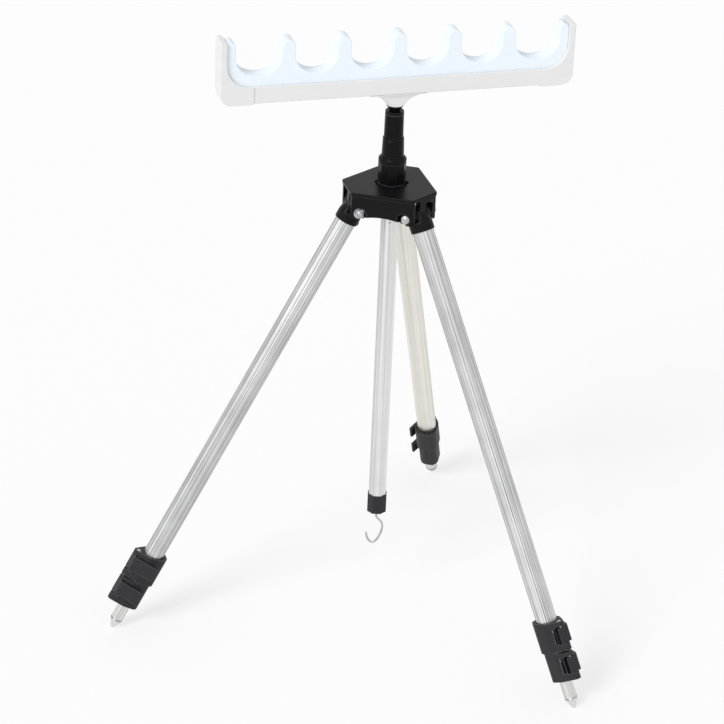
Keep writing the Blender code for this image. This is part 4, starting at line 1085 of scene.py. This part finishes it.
settleOnLegs(legFoot(), "foot", shifted(0, 0, -legLength), endFinish)
for level, size in lockSizes.items():
    place = shifted(0, 0, fromFoot(size["foot"]))
    settleOnLegs(flipLock(size), level + "_lock", place, lockPlastic)
    settleOnLegs(flipLever(), level + "_lever", place @ toPin, lockPlastic)
    settleOnLegs(leverPin(size), level + "_lever_pin", place @ toPin, steelFinish)
print("locks and feet made")

# the pieces that stay as the CAD made them, out of sight inside the tubes
hiddenFinishes = {"_bush": lockPlastic, "_mast_tube": mastAluminium}
for node, cadPiece in frame["nodes"].items():
    for ending, finish in hiddenFinishes.items():
        if node.endswith(ending):
            wear(cadPiece, finish)
print("hidden pieces finished")

# studio: a pale floor, an even pale sky and a soft key light from the upper left
studio = {"floorSize": 30.0, "worldLight": 0.66, "keyStrength": 1.6, "keyAngle": radians(24),
          "keySpot": (-0.9, -1.9, 1.6), "paper": (0.98, 0.98, 0.98), "ownGlow": 0.58}


def studioFloor():
    deselect()
    bpy.ops.mesh.primitive_plane_add(size=studio["floorSize"])
    floor = bpy.context.object
    floor.name = "studioFloor"
    finish = Finish("floorPaper", studio["paper"], 0.9)
    white = finish.node("Emission", {"Color": (1, 1, 1, 1), "Strength": 1.0})
    paper = Link(finish, finish.shader.outputs[0])
    mixed = finish.node("MixShader", {0: finish.seen() * studio["ownGlow"], 1: paper, 2: white})
    finish.feed(finish.tree.nodes["Material Output"].inputs["Surface"], mixed)
    floor.data.materials.append(finish.material)


def studioWorld():
    world = bpy.data.worlds.new("studioWorld")
    bpy.context.scene.world = world
    world.use_nodes = True
    sky = Nodes(world.node_tree)
    background = sky.tree.nodes["Background"]
    sky.feed(background.inputs["Color"], (1, 1, 1, 1))
    strength = sky.node("MapRange", {"Value": sky.seen(), "To Min": studio["worldLight"], "To Max": 1.0})
    sky.feed(background.inputs["Strength"], strength)


def keyLight():
    deselect()
    bpy.ops.object.light_add(type="SUN", location=studio["keySpot"])
    light = bpy.context.object
    light.name = "keyLight"
    light.data.angle = studio["keyAngle"]
    light.data.energy = studio["keyStrength"]
    light.rotation_euler = (-Vector(studio["keySpot"])).to_track_quat("-Z", "Y").to_euler()


studioFloor()
studioWorld()
keyLight()
bpy.context.scene.view_settings.view_transform = "Standard"
print("studio made")

# camera: where the photograph was taken from, in metres from the mast's foot on the floor
photoView = {"fromMast": (0.55178, -2.43531, 1.58265), "yaw": 13.286, "pitch": 27.302, "roll": 2.389,
             "lens": 130.69, "sensor": 36}
cameraData = bpy.data.cameras.new("camera")
cameraData.lens = photoView["lens"]
cameraData.sensor_width = photoView["sensor"]
camera = bpy.data.objects.new("camera", cameraData)
bpy.context.scene.collection.objects.link(camera)
mastFoot = Vector((mastSpot.x, mastSpot.y, 0)) / 1000
camera.matrix_world = (Matrix.Translation(mastFoot + Vector(photoView["fromMast"]))
                       @ turned(radians(photoView["yaw"]), "Z")
                       @ turned(radians(90 - photoView["pitch"]), "X")
                       @ turned(radians(photoView["roll"]), "Z"))
bpy.context.scene.camera = camera
print("camera placed")
